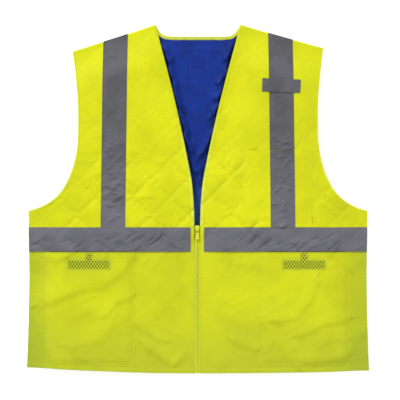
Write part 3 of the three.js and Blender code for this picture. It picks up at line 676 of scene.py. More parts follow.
def mesh_colour(p, x, y, z):
    """Lime threads, with painted shade towards the sides and the hem, and painted shadow in the holes, under
    the waist tape and along the rim of the lower layer.
    """
    # Painted shade, darker towards the sides and the hem.
    side = x.size().between(285, 365)
    low = (0 - y).between(190, 370)
    painted_falloff = side * 0.6 + low * 0.55
    thread = painted_falloff.mix(p.patches(80, 3, MESH_SHADE, MESH_LIME), MESH_PAINTED_SHADE)
    below_tape = x.size().between(16, 40) * (1 - y.between(WAIST_LOW, WAIST_LOW + 3))
    single = x.size().between(POCKET_OUT - 4, POCKET_OUT + 4)
    # The holes are painted dark with the shadow seen through them: faintly everywhere, more beside the
    # pockets' outer seams and just under the waist tape.
    shown = 0.05 + single * 0.33 + below_tape * y.between(WAIST_LOW - 30, WAIST_LOW) * 0.25
    # Painted shadow of the waist tape on the mesh just under it.
    seam = below_tape * y.between(WAIST_LOW - 4.5, WAIST_LOW - 2)
    rim = x.maths("MAXIMUM", x.size().between(351, 357), (0 - y).between(351, 360))
    # Painted shadow along the rim of the lower layer at the sides and the hem.
    fold = rim * (1 - z.between(0.6, 3.0))
    return (holes(x, y) * shown + seam * 0.35 + fold * 0.5).mix(thread, MESH_PAINTED_SHADOW)


def mesh_relief(p, x, y, z):
    return 1 - holes(x, y) * 0.5 + p.noise(9, 2) * 0.6


mesh_cloth = finish("lime mesh", 0.68, mesh_colour, mesh_relief, 0.2)


def hem_y(side, x):
    """Height of the hem at a distance from the middle."""
    return HEM_Y + side["hem_lift"] * smoothstep(np.abs(x), 0, HEM_HALF * 1.15) ** 1.3


def hem_relief(y, hem):
    """The hem's second layer and the groove of its stitching."""
    up = y - hem
    return 0.8 * (1 - smoothstep(up, 9.5, 11)) - 0.5 * bell(up - 9, 1.1)


u = spaced(2 * HEM_HALF, 5)[None, :] / HEM_HALF - 1
v = spaced(280, 5)[:, None] / 280
hem = both_sides(u + 0 * v, lambda side: hem_y(side, u * HEM_HALF))
y = hem + (WAIST_SEAM - hem) * v
x = across_back(u, y)
lifted = 1.2 * smoothstep(y, WAIST_LOW - 8, WAIST_LOW)
back_skirt = cloth("back_lower", mesh_cloth, x, y, lifted + 1.5, lifted, 0.8)
sheet(back_skirt, 719, 280)

def in_pocket(side, x, y, low, inner, outer):
    """1 in the middle of a pocket and at its mouth, 0 at its seams."""
    out = side["sign"] * x
    fade = smoothstep(np.minimum(out - inner, outer - out), 0, POCKET_FADE)
    return fade * smoothstep(y - low, 0, POCKET_FADE)


def in_skirt_pocket(side, x, y):
    return in_pocket(side, x, y, HEM_Y + POCKET_LOW, POCKET_IN, POCKET_OUT)


for name, sign, side in BOTH:
    u = spaced(350, 2.8)[None, :] / 350
    v = spaced(279, 2.8)[:, None] / 279
    inner = ZIP_X + sign * ZIP_EDGE + 0 * u
    hem = hem_y(side, inner + (sign * HEM_HALF - inner) * u)
    y = hem + (WAIST_SEAM - hem) * v
    outer = sign * outer_x(side, y)
    x = inner + (outer - inner) * u
    under = front_under(x, y)
    covered = in_skirt_pocket(side, x, y) * (y < WAIST_LOW + 2)
    top = front_top(side, x, y) + hem_relief(y, hem)
    top = under + 1.4 + (top - under - 1.4) * (1 - covered)
    node = f"front_lower_{name}"
    panel = cloth(node, mesh_cloth, x, y, top, np.minimum(under, top - 0.8), 1.0)
    sheet(panel, 353, 280, "back_lower")

# Skirt pockets
# A patch of the same mesh on each front skirt, sewn at its sides and bottom and open under the
# waist tape. The dark strip that closes the mouth shows through the holes of the mesh.
CLOSURE_HALF = 42.5
CLOSURE_HEIGHT = 15
CLOSURE_TOP = WAIST_LOW - 19.5
CLOSURE_PEAK = 13
CLOSURE_MIDDLE, CLOSURE_SHIFT = 224.5, 3.2
POCKET_LIFT = 3.4
CLOSURE_DARK = paint(52, 58, 12)
CLOSURE_DEEP = paint(38, 43, 10)


def pocket_under(side, x, y):
    """Underside of a skirt pocket's cloth, clear of the front that it lies on."""
    return front_top(side, x, y) - 0.45 + POCKET_LIFT * in_skirt_pocket(side, x, y)


def near_closure(x, y, blur):
    """1 over a closure strip and its peak, 0 beside them."""
    beside = (x.size() - CLOSURE_MIDDLE + x.maths("SIGN", x) * CLOSURE_SHIFT).size()
    low = y.between(CLOSURE_TOP - CLOSURE_HEIGHT - blur, CLOSURE_TOP - CLOSURE_HEIGHT + 1)
    strip = (1 - beside.between(CLOSURE_HALF - 1, CLOSURE_HALF + blur)) * low
    peak = 1 - beside.between(5, 5 + blur)
    below_top = 1 - y.between(CLOSURE_TOP, CLOSURE_TOP + blur)
    return strip * x.maths("MAXIMUM", below_top, peak)


def pocket_colour(p, x, y, z):
    """The mesh, with painted shade over the closure strip that lies close under it and just around it."""
    return (near_closure(x, y, 9) * 0.75).mix(mesh_colour(p, x, y, z), MESH_PAINTED_SHADE)


pocket_mesh = finish(
    "lime mesh over a pocket", 0.68, pocket_colour, mesh_relief, 0.2,
    alpha=lambda p, x, y, z: 1 - holes(x, y, 1.6) * near_closure(x, y, 3),
)
closure_cloth = finish(
    "dark pocket closure", 0.8,
    lambda p, x, y, z: p.patches(1.2, 2, CLOSURE_DEEP, CLOSURE_DARK, 0.2),
    lambda p, x, y, z: p.noise(0.8, 2), 0.5,
)
for name, sign, side in BOTH:
    node = f"skirt_pocket_{name}"
    low_y, high_y = corner(node, LOW, Y), corner(node, HIGH, Y) - 0.4
    u = spaced(POCKET_OUT - POCKET_IN, 2.8)
    v = spaced(high_y - low_y, 2.8)
    aside, y = np.meshgrid(POCKET_IN + u, low_y + v)
    x = sign * aside
    base = pocket_under(side, x, y)
    from_seam = np.minimum(aside - POCKET_IN, POCKET_OUT - aside)
    groove = 0.5 * bell(from_seam - 5, 1.2)
    mouth = 0.7 * smoothstep(y - high_y, -12, -10)
    pocket = cloth(node, pocket_mesh, x, y, base + 0.9 + mouth - groove, base, 0.6)
    sheet(pocket, 191, 240, f"front_lower_{name}")

    node = f"pocket_closure_{name}"
    u = spaced(2 * CLOSURE_HALF, 2.2, edge=1.8)[None, :] - CLOSURE_HALF
    v = spaced(CLOSURE_HEIGHT, 2.0, edge=1.8)[:, None] / CLOSURE_HEIGHT
    peak = CLOSURE_PEAK * np.clip(1.25 - np.abs(u) / 8, 0, 1)
    y = CLOSURE_TOP - CLOSURE_HEIGHT + (CLOSURE_HEIGHT + peak) * v
    x = sign * CLOSURE_MIDDLE - CLOSURE_SHIFT + u + 0 * y
    base = front_under(x, y) + 1.7
    closure = cloth(node, closure_cloth, x, y, base + 1.2, base, 0.6)
    sheet(closure, 85, 17, f"front_lower_{name}")

# Chest pocket
# A patch of plain lime polyester on the left chest, with a pen slot sewn along its inner edge.
# The piece of tape that crosses it is sewn on the pocket, in line with the tape above.
CHEST_IN, CHEST_OUT = 93, 238
CHEST_TOP = corner("chest_pocket", HIGH, Y)
PEN_SLOT = 20
chest_cloth = finish(
    "lime polyester", 0.6,
    lambda p, x, y, z: p.patches(50, 3, LIME_SHADE, LIME),
    lambda p, x, y, z: plain_weave(x, y, 0.6) * 0.5 + p.noise(7, 3) * 1.8,
    0.14,
)


def chest_top(x, y):
    """Outer face of the chest pocket, with the grooves of its stitching."""
    smooth = front_under(x, y) + QUILT_SEAM + 0.55 * QUILT_PUFF
    full = in_pocket(LEFT, x, y, WAIST_TOP, CHEST_IN, CHEST_OUT)
    above = np.maximum(front_top(LEFT, x, y) - 0.35, smooth + 2.6 * full - 1.4)
    above = above + wrinkles(
        x, y, 91, 34, (CHEST_IN, CHEST_OUT, WAIST_TOP, CHEST_TOP), [30, 70, -25], (20, 60), (3, 6), (0.2, 0.8)
    )
    lines = [CHEST_IN + 3, CHEST_IN + PEN_SLOT, CHEST_OUT - 3]
    groove = sum(bell(x - line, 1.3) for line in lines)
    return above + 0.7 - 0.15 * groove


u = spaced(CHEST_OUT - CHEST_IN, 2.4)
v = spaced(CHEST_TOP - WAIST_TOP - 0.4, 2.4)
x, y = np.meshgrid(CHEST_IN + u, WAIST_TOP + 0.3 + v)
hemmed = 0.4 * smoothstep(y - CHEST_TOP, -16, -12)
top = chest_top(x, y) + hemmed
chest = cloth("chest_pocket", chest_cloth, x, y, top, top - 0.8 - hemmed, 0.7)
sheet(chest, 145, 161, "front_upper_left")

# Bindings
# Folded strips of plain lime cloth over the raw edges: along the V neck, round the armholes
# and across the back of the neck.
BINDING = paint(222, 228, 70)
BINDING_SHADE = paint(212, 219, 56)
BAND_LIME = paint(206, 213, 82)
BAND_SHADE = paint(192, 200, 70)
NECK_BINDING = 7
ARMHOLE_BINDING = 4
# Painted shade: high up, the bindings are painted the darker lime of the quilting, damping the light on their
# rounded edges.
binding_cloth = finish(
    "lime binding", 0.6,
    lambda p, x, y, z: y.between(20, 240).mix(
        p.patches(20, 2, BINDING_SHADE, BINDING), LIME_SHADE
    ),
    lambda p, x, y, z: plain_weave(x, y, 0.6) * 0.5 + p.noise(4, 3) * 1.2, 0.12,
)
band_cloth = finish(
    "pale lime knit band", 0.75,
    lambda p, x, y, z: p.patches(12, 2, BAND_SHADE, BAND_LIME),
    lambda p, x, y, z: (x * (math.tau / 1.4)).sine() * 0.5 + p.noise(3, 3) * 0.8, 0.15, sheen=0.1,
)


def along_line(line, offsets):
    """Grid that follows a line of points, its columns at distances to the line's left."""
    run = np.gradient(line, axis=0)
    run /= np.linalg.norm(run, axis=1)[:, None]
    normal = np.stack([-run[:, 1], run[:, 0]], 1)
    grid = line[:, None, :] + normal[:, None, :] * np.asarray(offsets)[None, :, None]
    return grid[..., 0], grid[..., 1]


def even_line(points, count):
    """The same line with evenly spaced points."""
    steps = np.concatenate([[0], np.cumsum(np.linalg.norm(np.diff(points, axis=0), axis=1))])
    even = np.linspace(0, steps[-1], count)
    return np.stack([np.interp(even, steps, points[:, k]) for k in range(2)], 1)


for name, sign, side in BOTH:
    y_line = np.linspace(ZIP_Y - 4, NECK_Y - 0.5, 400)
    line = even_line(np.stack([inner_x(side, y_line), y_line], 1), 200)
    x, y = along_line(line, -sign * np.linspace(-0.5, NECK_BINDING, 10))
    y = np.minimum(y, shoulder_y(side, x))
    top = front_top(side, x, y) + 0.5 + 0.25 * ripple(x, y, 9, 120 + sign)
    node = f"neck_binding_{name}"
    piece = cloth(node, binding_cloth, x, y, top, front_under(x, y) - 0.4, 2.0)
    sheet(piece, 12, 430, f"front_upper_{name}", held="folded")

    y_line = np.linspace(NECK_Y - side["shoulder_drop"], ARMPIT_Y, 600)
    line = even_line(np.stack([sign * outer_x(side, y_line), y_line], 1), 170)
    x, y = along_line(line, -sign * np.linspace(-0.5, ARMHOLE_BINDING, 7))
    top = front_top(side, x, y) + 0.5
    node = f"armhole_binding_{name}_front"
    piece = cloth(node, binding_cloth, x, y, top, front_under(x, y) - 0.3, 1.6)
    sheet(piece, 10, 385, f"front_upper_{name}", held="folded")
    node = f"armhole_binding_{name}_back"
    piece = cloth(node, binding_cloth, x, y, 6.2 + 0 * x, 0 * x, 2.0)
    sheet(piece, 10, 385, "back_upper", held="folded")

x_line = np.linspace(-NECK_HALF, NECK_HALF, 400)
line = even_line(np.stack([x_line, NECK_Y - back_neck_drop(np.abs(x_line) / NECK_HALF)], 1), 120)
x, y = along_line(line, -spaced(BAND, 0.9, edge=1.8))
band = cloth("back_neck_band", band_cloth, x, y, 6.9 + 0.2 * ripple(x, y, 25, 130), 0.2 + 0 * x, 1.8)
sheet(band, 16, 195, "back_upper", held="folded")

# Reflective tape
# Glass bead tape 51 mm wide, sewn flat near both edges: one down each side of the chest, one
# round the waist, the same at the back, and a short strip across the left one for a microphone.
TAPE = 0.7
TAPE_GREY = paint(116, 115, 124)
TAPE_DARK = paint(80, 80, 84)
STITCH_INSET = 2.2
TAPE_ROWS = STITCH_INSET - TAPE_HALF, TAPE_HALF - STITCH_INSET
# Painted light and shade: the tape is painted lighter towards the waist and darker towards the shoulders, for
# the way the light falls on its beads.
tape_cloth = finish(
    "reflective tape", 0.6,
    lambda p, x, y, z: (
        p.noise(0.9, 1).between(0.35, 0.65) * 0.2 + p.noise(35, 3).between(0.3, 0.7) * 0.3
        + (1 - y.between(-40, 170)) * 0.45
    ).mix(TAPE_DARK, TAPE_GREY),
    lambda p, x, y, z: p.noise(0.8, 2) * 0.5 + p.noise(6, 2) * 1.6, 0.1,
)


def tape_relief(aside, half):
    """The grooves of a tape's two rows of stitching."""
    return -0.35 * bell(np.abs(aside) - half + STITCH_INSET, 0.8)


def tape_creases(sign, x, y):
    """Short sharp creases, more of them towards the waist."""
    span = (sign * 175 - 30, sign * 175 + 30)
    low = wrinkles(
        x, y, 140 + sign, 70, (*span, WAIST_TOP, 130), [12, -22, 38], (18, 52), (1.6, 3.6), (0.9, 2.8)
    )
    high = wrinkles(
        x, y, 150 + sign, 26, (*span, 100, 340), [60, -48, 10], (20, 50), (1.6, 4), (0.3, 1.1)
    )
    return (low + high) * bell(np.abs(x) - tape_x(y), TAPE_HALF * 0.85, 6)


def vertical_tape(side, node, low, high, height, held_on, step=2.2):
    """A tape from the waist to the shoulder, over a height function."""
    aside = spaced(2 * TAPE_HALF, step, edge=1.8) - TAPE_HALF
    longest = float(high(0.0) - low)
    a, v = np.meshgrid(aside, spaced(longest, step, edge=1.8) / longest)
    y = low + (high(a) - low) * v
    x = side["sign"] * (tape_x(y) + a)
    base = height(x, y)
    tape = cloth(node, tape_cloth, x, y, base + TAPE + tape_relief(a, TAPE_HALF), base, 0.6)
    sheet(tape, 2 * TAPE_HALF, longest, held_on)


for name, sign, side in BOTH:

    def shoulder_seam(aside):
        return shoulder_y(side, TAPE_OUT + aside) - 0.4

    def on_front(x, y):
        return front_top(side, x, y) + 0.3 + tape_creases(sign, x, y)

    low = CHEST_TOP + 0.3 if name == "left" else WAIST_TOP - 1
    vertical_tape(side, f"tape_{name}_front", low, shoulder_seam, on_front, f"front_upper_{name}")
    vertical_tape(
        side, f"tape_{name}_back", WAIST_TOP, shoulder_seam, lambda x, y: 0 * x - 0.02, "back_upper", step=8
    )

    node = f"waist_tape_{name}"
    end = corner(node, LOW if name == "left" else HIGH, X)
    u = spaced(340, 1.8, edge=1.8)[None, :] / 340
    v = spaced(2 * TAPE_HALF, 1.8, edge=1.8)[:, None]
    y = WAIST_LOW + v + 0 * u
    x = end + (sign * (outer_x(side, y) + 0.2) - end) * u
    base = front_top(side, x, y) + 0.9
    top = base + TAPE + tape_relief(v - TAPE_HALF, TAPE_HALF)
    tape = cloth(node, tape_cloth, x, y, top, base - 0.6, 0.6)
    sheet(tape, 340, 2 * TAPE_HALF, f"front_upper_{name}")


def on_chest_pocket(x, y):
    """Underside of the tape that crosses the chest pocket."""
    return chest_top(x, y) + 0.35 + 0.8 * tape_creases(1, x, y)


vertical_tape(
    LEFT, "tape_left_pocket", WAIST_TOP + 0.2, lambda aside: CHEST_TOP - 0.4 + 0 * aside,
    on_chest_pocket, "chest_pocket",
)
u = spaced(2 * HEM_HALF, 8)[None, :] / HEM_HALF - 1
y = WAIST_LOW + spaced(2 * TAPE_HALF, 8)[:, None] + 0 * u
x = across_back(u, y)
back_waist = cloth("waist_tape_back", tape_cloth, x, y, 0.75 + 0 * x, 0 * x - 0.02, 0.5)
sheet(back_waist, 711, 2 * TAPE_HALF, "back_upper")

MIC_WIDTH, MIC_HEIGHT = 80, 28
MIC_X, MIC_Y = 174, NECK_Y - 129
MIC_TILT = math.radians(-2.3)
a, b = np.meshgrid(
    spaced(MIC_WIDTH, 2.0, edge=1.8) - MIC_WIDTH / 2, spaced(MIC_HEIGHT, 1.6, edge=1.8) - MIC_HEIGHT / 2
)
x = MIC_X + a * math.cos(MIC_TILT) - b * math.sin(MIC_TILT)
y = MIC_Y + a * math.sin(MIC_TILT) + b * math.cos(MIC_TILT)
on_tape = smoothstep(TAPE_HALF + 5 - np.abs(a), 0, 6)
open_loop = 0.9 * smoothstep(30 - np.abs(a), 0, 14) * smoothstep(np.abs(a), 0.5, 7)
base = front_top(LEFT, x, y) + 0.3 + (TAPE + 0.5) * on_tape + open_loop * smoothstep(-b, -14, 14)
tab = cloth("mic_tab", tape_cloth, x, y, base + 1.0 + tape_relief(a, MIC_WIDTH / 2 - 7), base, 0.7)
sheet(tab, 80, 28, "tape_left_front")

# Zip
# A moulded lime zip: a row of teeth on two cloth tapes behind the fronts' edges, with a
# slider, and a pull that turns on the slider's bridge.
CHAIN_LOW = corner("zip_chain", LOW, Y)
CHAIN_HIGH = corner("zip_chain", HIGH, Y)
CHAIN_TOP = corner("zip_chain", HIGH, Z)
PLATE_LOW, PLATE_TOP = CHAIN_TOP + 0.3, CHAIN_TOP + 1.8
TOOTH_PITCH = 2.4
UNDER_LOW, UNDER_TOP = 17.7, 19.2
PULL_LOW, PULL_TOP = 25.2, 26.8
HINGE_Y, HINGE_Z = -66.1, 26.0
ZIP_LIME = paint(210, 219, 54)
ZIP_DARK = paint(198, 208, 48)
PULL_LIME = paint(214, 223, 84)
# Painted shadow on the slider under the bridge and the pull's eye.
UNDER_EYE_SHADOW = paint(112, 118, 16)

zip_tape_cloth = finish(
    "lime zip tape", 0.7,
    lambda p, x, y, z: p.patches(6, 2, BINDING_SHADE, ZIP_LIME),
    lambda p, x, y, z: (y * (math.tau / 1.1)).sine() * 0.4 + (x * (math.tau / 0.8)).sine() * 0.4, 0.12,
)
tooth_resin = finish(
    "lime zip teeth", 0.4,
    lambda p, x, y, z: p.patches(3, 2, ZIP_DARK, ZIP_LIME, 0.2),
    lambda p, x, y, z: p.noise(1, 2), 0.05,
)


def shadow_under_eye(x, y, z):
    """1 on the slider under the bridge and the pull's eye, where shadow is painted dark."""
    across = 1 - (x - ZIP_X).size().between(1.6, 2.4)
    along = 1 - (y - HINGE_Y + 2.9).size().between(2.2, 3)
    return across * along * (1 - z.between(24.3, 25.1))


slider_metal = finish(
    "painted lime metal", 0.35,
    lambda p, x, y, z: shadow_under_eye(x, y, z).mix(
        p.patches(2.5, 3, ZIP_LIME, PULL_LIME, 0.2), UNDER_EYE_SHADOW
    ),
    lambda p, x, y, z: p.noise(0.9, 2), 0.05,
)
for name, sign, side in BOTH:
    node = f"zip_tape_{name}"
    low, high = corner(node, LOW, Y), corner(node, HIGH, Y)
    u = spaced(16, 1.6, edge=1.8)[None, :]
    v = spaced(high - low, 4)[:, None]
    x, y = ZIP_X + sign * (0.3 + u) + 0 * v, low + v + 0 * u
    rise = 1.5 * (1 - smoothstep(u, 4, 7))
    cord = 0.5 * bell(u - 2.2, 0.9)
    tape = cloth(node, zip_tape_cloth, x, y, 20.3 + rise + cord + 0 * v, 19.5 + rise + 0 * x, 0.5)
    sheet(tape, 16.5, high - low, f"front_lower_{name}")

# The tree that repeats a small piece along every line of a mesh: zip teeth and stitches.
repeat_tree = bpy.data.node_groups.new("repeat along lines", "GeometryNodeTree")
given_names = []
for kind in ("Geometry", "Float", "Object", "Material"):
    made = repeat_tree.interface.new_socket(kind, in_out="INPUT", socket_type=f"NodeSocket{kind}")
    given_names.append(made.identifier)
repeat_tree.interface.new_socket("Geometry", in_out="OUTPUT", socket_type="NodeSocketGeometry")
given = repeat_tree.nodes.new("NodeGroupInput").outputs
lines, pitch, piece, material = [Wire(repeat_tree, given[k]) for k in range(4)]
curves = lines.node("GeometryNodeMeshToCurve", {}, {0: lines})
points = curves.node("GeometryNodeResampleCurve", {"mode": "LENGTH"}, {"Curve": curves, "Length": pitch})
tangent = points.node("GeometryNodeInputTangent")
facing = {"axis": "X", "pivot_axis": "Z"}
turn = tangent.node("FunctionNodeAlignRotationToVector", facing, {"Vector": tangent})
block = piece.node("GeometryNodeObjectInfo", {}, {"Object": piece}, "Geometry")
inputs = {"Points": points, "Instance": block, "Rotation": turn}
copies = block.node("GeometryNodeInstanceOnPoints", {}, inputs)
real = copies.node("GeometryNodeRealizeInstances", {}, {0: copies})
coloured = real.node("GeometryNodeSetMaterial", {}, {"Geometry": real, "Material": material})
repeat_tree.links.new(coloured.socket, repeat_tree.nodes.new("NodeGroupOutput").inputs[0])


def plain(piece):
    """The same piece as a plain mesh, with its modifiers or its curve made real."""
    name = piece.name
    evaluated = piece.evaluated_get(bpy.context.evaluated_depsgraph_get())
    mesh = bpy.data.meshes.new_from_object(evaluated)
    bpy.data.objects.remove(piece)
    return in_scene(name, mesh)


def small_block(name, size, bevel):
    """A small bevelled block, centred on the origin, to be repeated."""
    half = [side / 2 * MM for side in size]
    corners = [(i * half[0], j * half[1], k * half[2]) for i in (-1, 1) for j in (-1, 1) for k in (-1, 1)]
    faces = [(0, 1, 3, 2), (4, 6, 7, 5), (0, 4, 5, 1), (2, 3, 7, 6), (0, 2, 6, 4), (1, 5, 7, 3)]
    made = mesh_piece(name, corners, [], faces)
    rounding = made.modifiers.new("bevel", "BEVEL")
    rounding.width = bevel * MM
    rounding.segments = 1
    return plain(made)


def repeated(name, runs, pitch, piece, material):
    """A small piece repeated along runs of points, given in millimetres."""
    corners, edges = [], []
    for run in runs:
        start = len(corners)
        corners += [tuple(c * MM for c in point) for point in run]
        edges += [(start + k, start + k + 1) for k in range(len(run) - 1)]
    made = mesh_piece(name, corners, edges, [])
    modifier = made.modifiers.new("repeat", "NODES")
    modifier.node_group = repeat_tree
    for given_name, value in zip(given_names[1:], (pitch * MM, piece, material)):
        modifier[given_name] = value
    return plain(made)


tooth = small_block("tooth", (1.5, 3.0, 2.0), 0.3)
chain_z = ROOM_TOP + 1.2
chain_runs = [
    [(ZIP_X - 1.2, CHAIN_LOW + 1, chain_z), (ZIP_X - 1.2, CHAIN_HIGH - 1, chain_z)],
    [(ZIP_X + 1.2, CHAIN_LOW + 1 + TOOTH_PITCH / 2, chain_z), (ZIP_X + 1.2, CHAIN_HIGH - 0.4, chain_z)],
]
chain = repeated("zip_teeth", chain_runs, TOOTH_PITCH, tooth, tooth_resin)
fitted(chain, tooth_resin, "zip_chain")
bpy.data.objects.remove(tooth)


def curve_piece(name, runs, bevel, flat=None, closed=False):
    """A round bar along runs of points, or a flat plate of a thickness inside them."""
    data = bpy.data.curves.new(name, "CURVE")
    data.dimensions = "2D" if flat else "3D"
    data.bevel_depth = bevel * MM
    data.bevel_resolution = 2
    if flat:
        data.fill_mode = "BOTH"
        data.extrude = (flat / 2 - bevel) * MM
        data.offset = -bevel * MM
    else:
        data.use_fill_caps = True
    for run in runs:
        spline = data.splines.new("POLY")
        spline.points.add(len(run) - 1)
        for point, place in zip(spline.points, run):
            point.co = (*[c * MM for c in place], *([0] * (3 - len(place))), 1)
        spline.use_cyclic_u = closed
    return plain(in_scene(name, data))


def plate(name, outlines, low, high, bevel):
    """A plate with bevelled edges from flat outlines: first its rim, then its holes."""
    made = curve_piece(name, outlines, bevel, flat=high - low, closed=True)
    for vertex in made.data.vertices:
        vertex.co.z += (low + high) / 2 * MM
    return made


def rounded_outline(corners, radius):
    """A closed outline with its corners rounded."""
    rounded = []
    count = len(corners)
    for k in range(count):
        before, here, after = (np.array(corners[(k + d) % count], float) for d in (-1, 0, 1))
        start = here + (before - here) / np.linalg.norm(before - here) * radius
        end = here + (after - here) / np.linalg.norm(after - here) * radius
        for t in np.linspace(0, 1, 5):
            rounded.append(tuple((1 - t) ** 2 * start + 2 * t * (1 - t) * here + t**2 * end))
    return rounded


def joined(name, pieces):
    """Several meshes as one object, smooth but for its sharp edges."""
    with bpy.context.temp_override(active_object=pieces[0], selected_editable_objects=pieces):
        bpy.ops.object.join()
    pieces[0].name = name
    pieces[0].data.shade_smooth()
    pieces[0].data.set_sharp_from_angle(angle=math.radians(35))
    return pieces[0]


def mirrored(half_outline):
    """An outline from its right half, about the zip's middle."""
    right = [(ZIP_X + aside, y) for aside, y in half_outline]
    return right + [(2 * ZIP_X - px, py) for px, py in reversed(right)]


slider_rim = mirrored([(2.6, ZIP_Y - 15), (3.9, ZIP_Y - 9), (5.4, ZIP_Y - 4.5), (3.6, ZIP_Y)])
slider_rim = rounded_outline(slider_rim, 1.4)
post = rounded_outline(mirrored([(1.6, ZIP_Y - 4), (2, ZIP_Y - 0.3)]), 0.6)
bridge_low, bridge_high = ZIP_Y - 11.7, ZIP_Y - 7.3
bridge_line = [
    (ZIP_X, bridge_low + (bridge_high - bridge_low) * t, PLATE_TOP - 0.4 + 3.4 * math.sin(math.pi * t) ** 0.5)
    for t in np.linspace(0, 1, 17)
]
bridge = curve_piece("bridge", [bridge_line], 0.75)
for vertex in bridge.data.vertices:
    vertex.co.x += vertex.co.x - ZIP_X * MM
slider = joined("zip_slider_metal", [
    plate("slider top", [slider_rim], PLATE_LOW, PLATE_TOP, 0.35),
    plate("slider under", [slider_rim], UNDER_LOW, UNDER_TOP, 0.35),
    plate("slider post", [post], 18.5, PLATE_TOP - 0.5, 0.2),
    bridge,
])
fitted(slider, slider_metal, "zip_slider")

PULL_END = corner("zip_pull", LOW, Y)
pull_rim = mirrored([(2.6, PULL_END), (3.9, PULL_END + 2), (3.0, HINGE_Y - 7), (3.4, HINGE_Y)])
eye = mirrored([(2.1, HINGE_Y - 5.2), (2.1, HINGE_Y - 0.6)])
pull = joined("zip_pull_metal", [
    plate("pull plate", [rounded_outline(pull_rim, 1.0), rounded_outline(eye, 0.8)], PULL_LOW, PULL_TOP, 0.3),
    curve_piece("bar", [[(ZIP_X - 3.6, HINGE_Y, HINGE_Z), (ZIP_X + 3.6, HINGE_Y, HINGE_Z)]], 0.85),
])
fitted(pull, slider_metal, "zip_pull", body="zip_pull")

# Stitching
# Thread in rows beside the tapes and pockets on the fronts, the V-neck bindings, the zip and the
# front hems, and along the quilting lines. Each stitch lies on the cloth that it holds.
STITCH_PITCH = 3.2
THREAD_LIME = paint(226, 232, 84)
THREAD_GREY = paint(126, 126, 124)
THREAD_BLUE = paint(96, 120, 186)


def thread(name, slot, deep, light):
    """A sewing thread of two close colours."""
    return finish(
        f"{name} thread", 0.6, lambda p, x, y, z: p.patches(3, 1, deep, light, 0.2),
        lambda p, x, y, z: p.noise(0.5, 1), 0.1,
    )


lime_thread = thread("lime", "lime_binding", LIME_SHADE, THREAD_LIME)
grey_thread = thread("grey", "reflective_tape", TAPE_DARK, THREAD_GREY)
blue_thread = thread("blue", "blue_lining", LINING_BLUE, THREAD_BLUE)
lime_rows, grey_rows = [], []


def stitch_row(rows, x, y, height):
    """Adds a row of stitching along a path across the cloth, at a height function."""
    path = np.stack([x + 0 * y, y + 0 * x], 1)
    length = np.linalg.norm(np.diff(path, axis=0), axis=1).sum()
    path = even_line(path, max(2, int(length / 3)))
    z = height(path[:, 0], path[:, 1])
    rows.append([(*place, up) for place, up in zip(path, z)])


def steps(low, high):
    """Places at even steps of 3 mm."""
    return np.arange(low, high, 3.0)


def quilting_rows(side, height):
    """Rows along the quilting lines, where nothing is sewn over them."""
    sign = side["sign"]
    x = steps(-360.0, 360.0)
    for k in range(-12, 13):
        for slope in (1, -1):
            y = side["quilt_y"] + slope * (x - side["quilt_x"]) + k * QUILT_PERIOD
            shows = (y > WAIST_TOP + 1) & (y < shoulder_y(side, x) - 4)
            shows &= (sign * x < outer_x(side, y) - 6) & (sign * (x - inner_x(side, y)) > 9)
            shows &= np.abs(np.abs(x) - tape_x(y)) > TAPE_HALF
            if side is LEFT:
                shows &= ~((x > CHEST_IN) & (x < CHEST_OUT) & (y < CHEST_TOP))
                shows &= ~((np.abs(x - MIC_X) < 42) & (np.abs(y - MIC_Y) < 17))
            cuts = np.flatnonzero(np.diff(shows.astype(int))) + 1
            for run in np.split(np.arange(len(x)), cuts):
                if shows[run[0]] and len(run) > 2:
                    stitch_row(lime_rows, x[run], y[run], height)


for name, sign, side in BOTH:

    def on_cloth(x, y):
        return front_top(side, x, y) + 0.12

    def on_tape(x, y):
        return front_top(side, x, y) + 0.1 + TAPE + tape_creases(sign, x, y)

    def on_waist(x, y):
        return front_top(side, x, y) + 0.7 + TAPE

    def on_pocket(x, y):
        return pocket_under(side, x, y) + 0.75

    quilting_rows(side, on_cloth)
    for edge in TAPE_ROWS:
        low = CHEST_TOP + 4 if name == "left" else WAIST_TOP + 3
        y = steps(low, shoulder_y(side, TAPE_OUT) - 9)
        stitch_row(grey_rows, sign * (tape_x(y) + edge), y, on_tape)
        x = sign * steps(19.0, 352.0)
        stitch_row(grey_rows, x, WAIST_SEAM + edge, on_waist)
    y = steps(ZIP_Y + 6, NECK_Y - 8)
    stitch_row(lime_rows, inner_x(side, y) + sign * (NECK_BINDING + 1.6), y, on_cloth)
    x = sign * steps(10.0, 350.0)
    stitch_row(lime_rows, x, hem_y(side, x) + 9, on_cloth)
    y = steps(HEM_Y + 12, WAIST_LOW - 2)
    stitch_row(lime_rows, ZIP_X + sign * (ZIP_EDGE + 5), y, on_cloth)
    low = HEM_Y + POCKET_LOW + 3
    for across in (POCKET_IN + 3, POCKET_OUT - 3):
        stitch_row(lime_rows, sign * across, steps(low, WAIST_LOW - 2), on_pocket)
    stitch_row(lime_rows, sign * steps(POCKET_IN + 4, POCKET_OUT - 3), low, on_pocket)

y = steps(WAIST_TOP + 4, CHEST_TOP - 2)
for across in (CHEST_IN + 3, CHEST_IN + PEN_SLOT, CHEST_OUT - 3):
    stitch_row(lime_rows, across, y, lambda x, y: chest_top(x, y) + 0.1)
for edge in TAPE_ROWS:
    stitch_row(grey_rows, tape_x(y) + edge, y, lambda x, y: on_chest_pocket(x, y) + TAPE - 0.2)

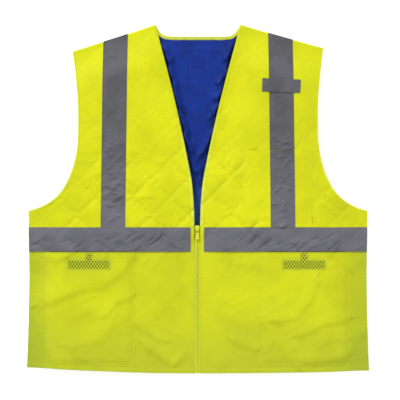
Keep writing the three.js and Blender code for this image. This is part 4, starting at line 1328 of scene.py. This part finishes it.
stitch = small_block("stitch", (2.3, 0.5, 0.4), 0.14)
lime_stitches = repeated("lime_stitching", lime_rows, STITCH_PITCH, stitch, lime_thread)
grey_stitches = repeated("grey_stitching", grey_rows, STITCH_PITCH, stitch, grey_thread)
patch_turns = ((-1, -1), (1, -1), (1, 1), (-1, 1))
patch_line = [(PATCH_X + i * PATCH_HALF, PATCH_Y + j * PATCH_HALF) for i, j in patch_turns]
patch_line = rounded_outline(patch_line, 6)
patch_line = [(*place, LINING_Z + 0.5) for place in patch_line + patch_line[:1]]
blue_stitches = repeated("blue_stitching", [patch_line], STITCH_PITCH, stitch, blue_thread)
bpy.data.objects.remove(stitch)
sewn = (lime_stitches, lime_thread), (grey_stitches, grey_thread), (blue_stitches, blue_thread)
for piece, material in sewn:
    piece.data.shade_smooth()
    fitted(piece, material)

# Floor and light
# A white table top, and soft light from above with its brightest source at the upper left.
FLOOR = 30
floor_corners = [(-FLOOR, -FLOOR, 0), (FLOOR, -FLOOR, 0), (FLOOR, FLOOR, 0), (-FLOOR, FLOOR, 0)]
floor = mesh_piece("floor", floor_corners, [], [(0, 1, 2, 3)])
floor.location.z = -0.0003
floor_material = bpy.data.materials.new("floor")
floor_material.use_nodes = True
floor_inputs = floor_material.node_tree.nodes["Principled BSDF"].inputs
floor_inputs["Base Color"].default_value = (0.9, 0.9, 0.9, 1)
floor_inputs["Roughness"].default_value = 0.9
floor_inputs["Emission Color"].default_value = (1, 1, 1, 1)
floor_inputs["Emission Strength"].default_value = 0.45
floor.data.materials.append(floor_material)

world = bpy.data.worlds.new("studio")
world.use_nodes = True
world_inputs = world.node_tree.nodes["Background"].inputs
world_inputs["Color"].default_value = (1, 1, 1, 1)
world_inputs["Strength"].default_value = 0.66
scene.world = world
scene.view_settings.view_transform = "Standard"


def lamp(name, place, size, power):
    """A square soft light that looks at the vest."""
    data = bpy.data.lights.new(name, "AREA")
    data.shape = "SQUARE"
    data.size = size
    data.energy = power
    made = in_scene(name, data)
    made.location = place
    made.rotation_euler = (-Vector(place)).to_track_quat("-Z", "Y").to_euler()


lamp("key", (-2.3, 3.9, 3.0), 0.9, 165)
lamp("fill", (1.6, -0.6, 2.4), 2.0, 12)
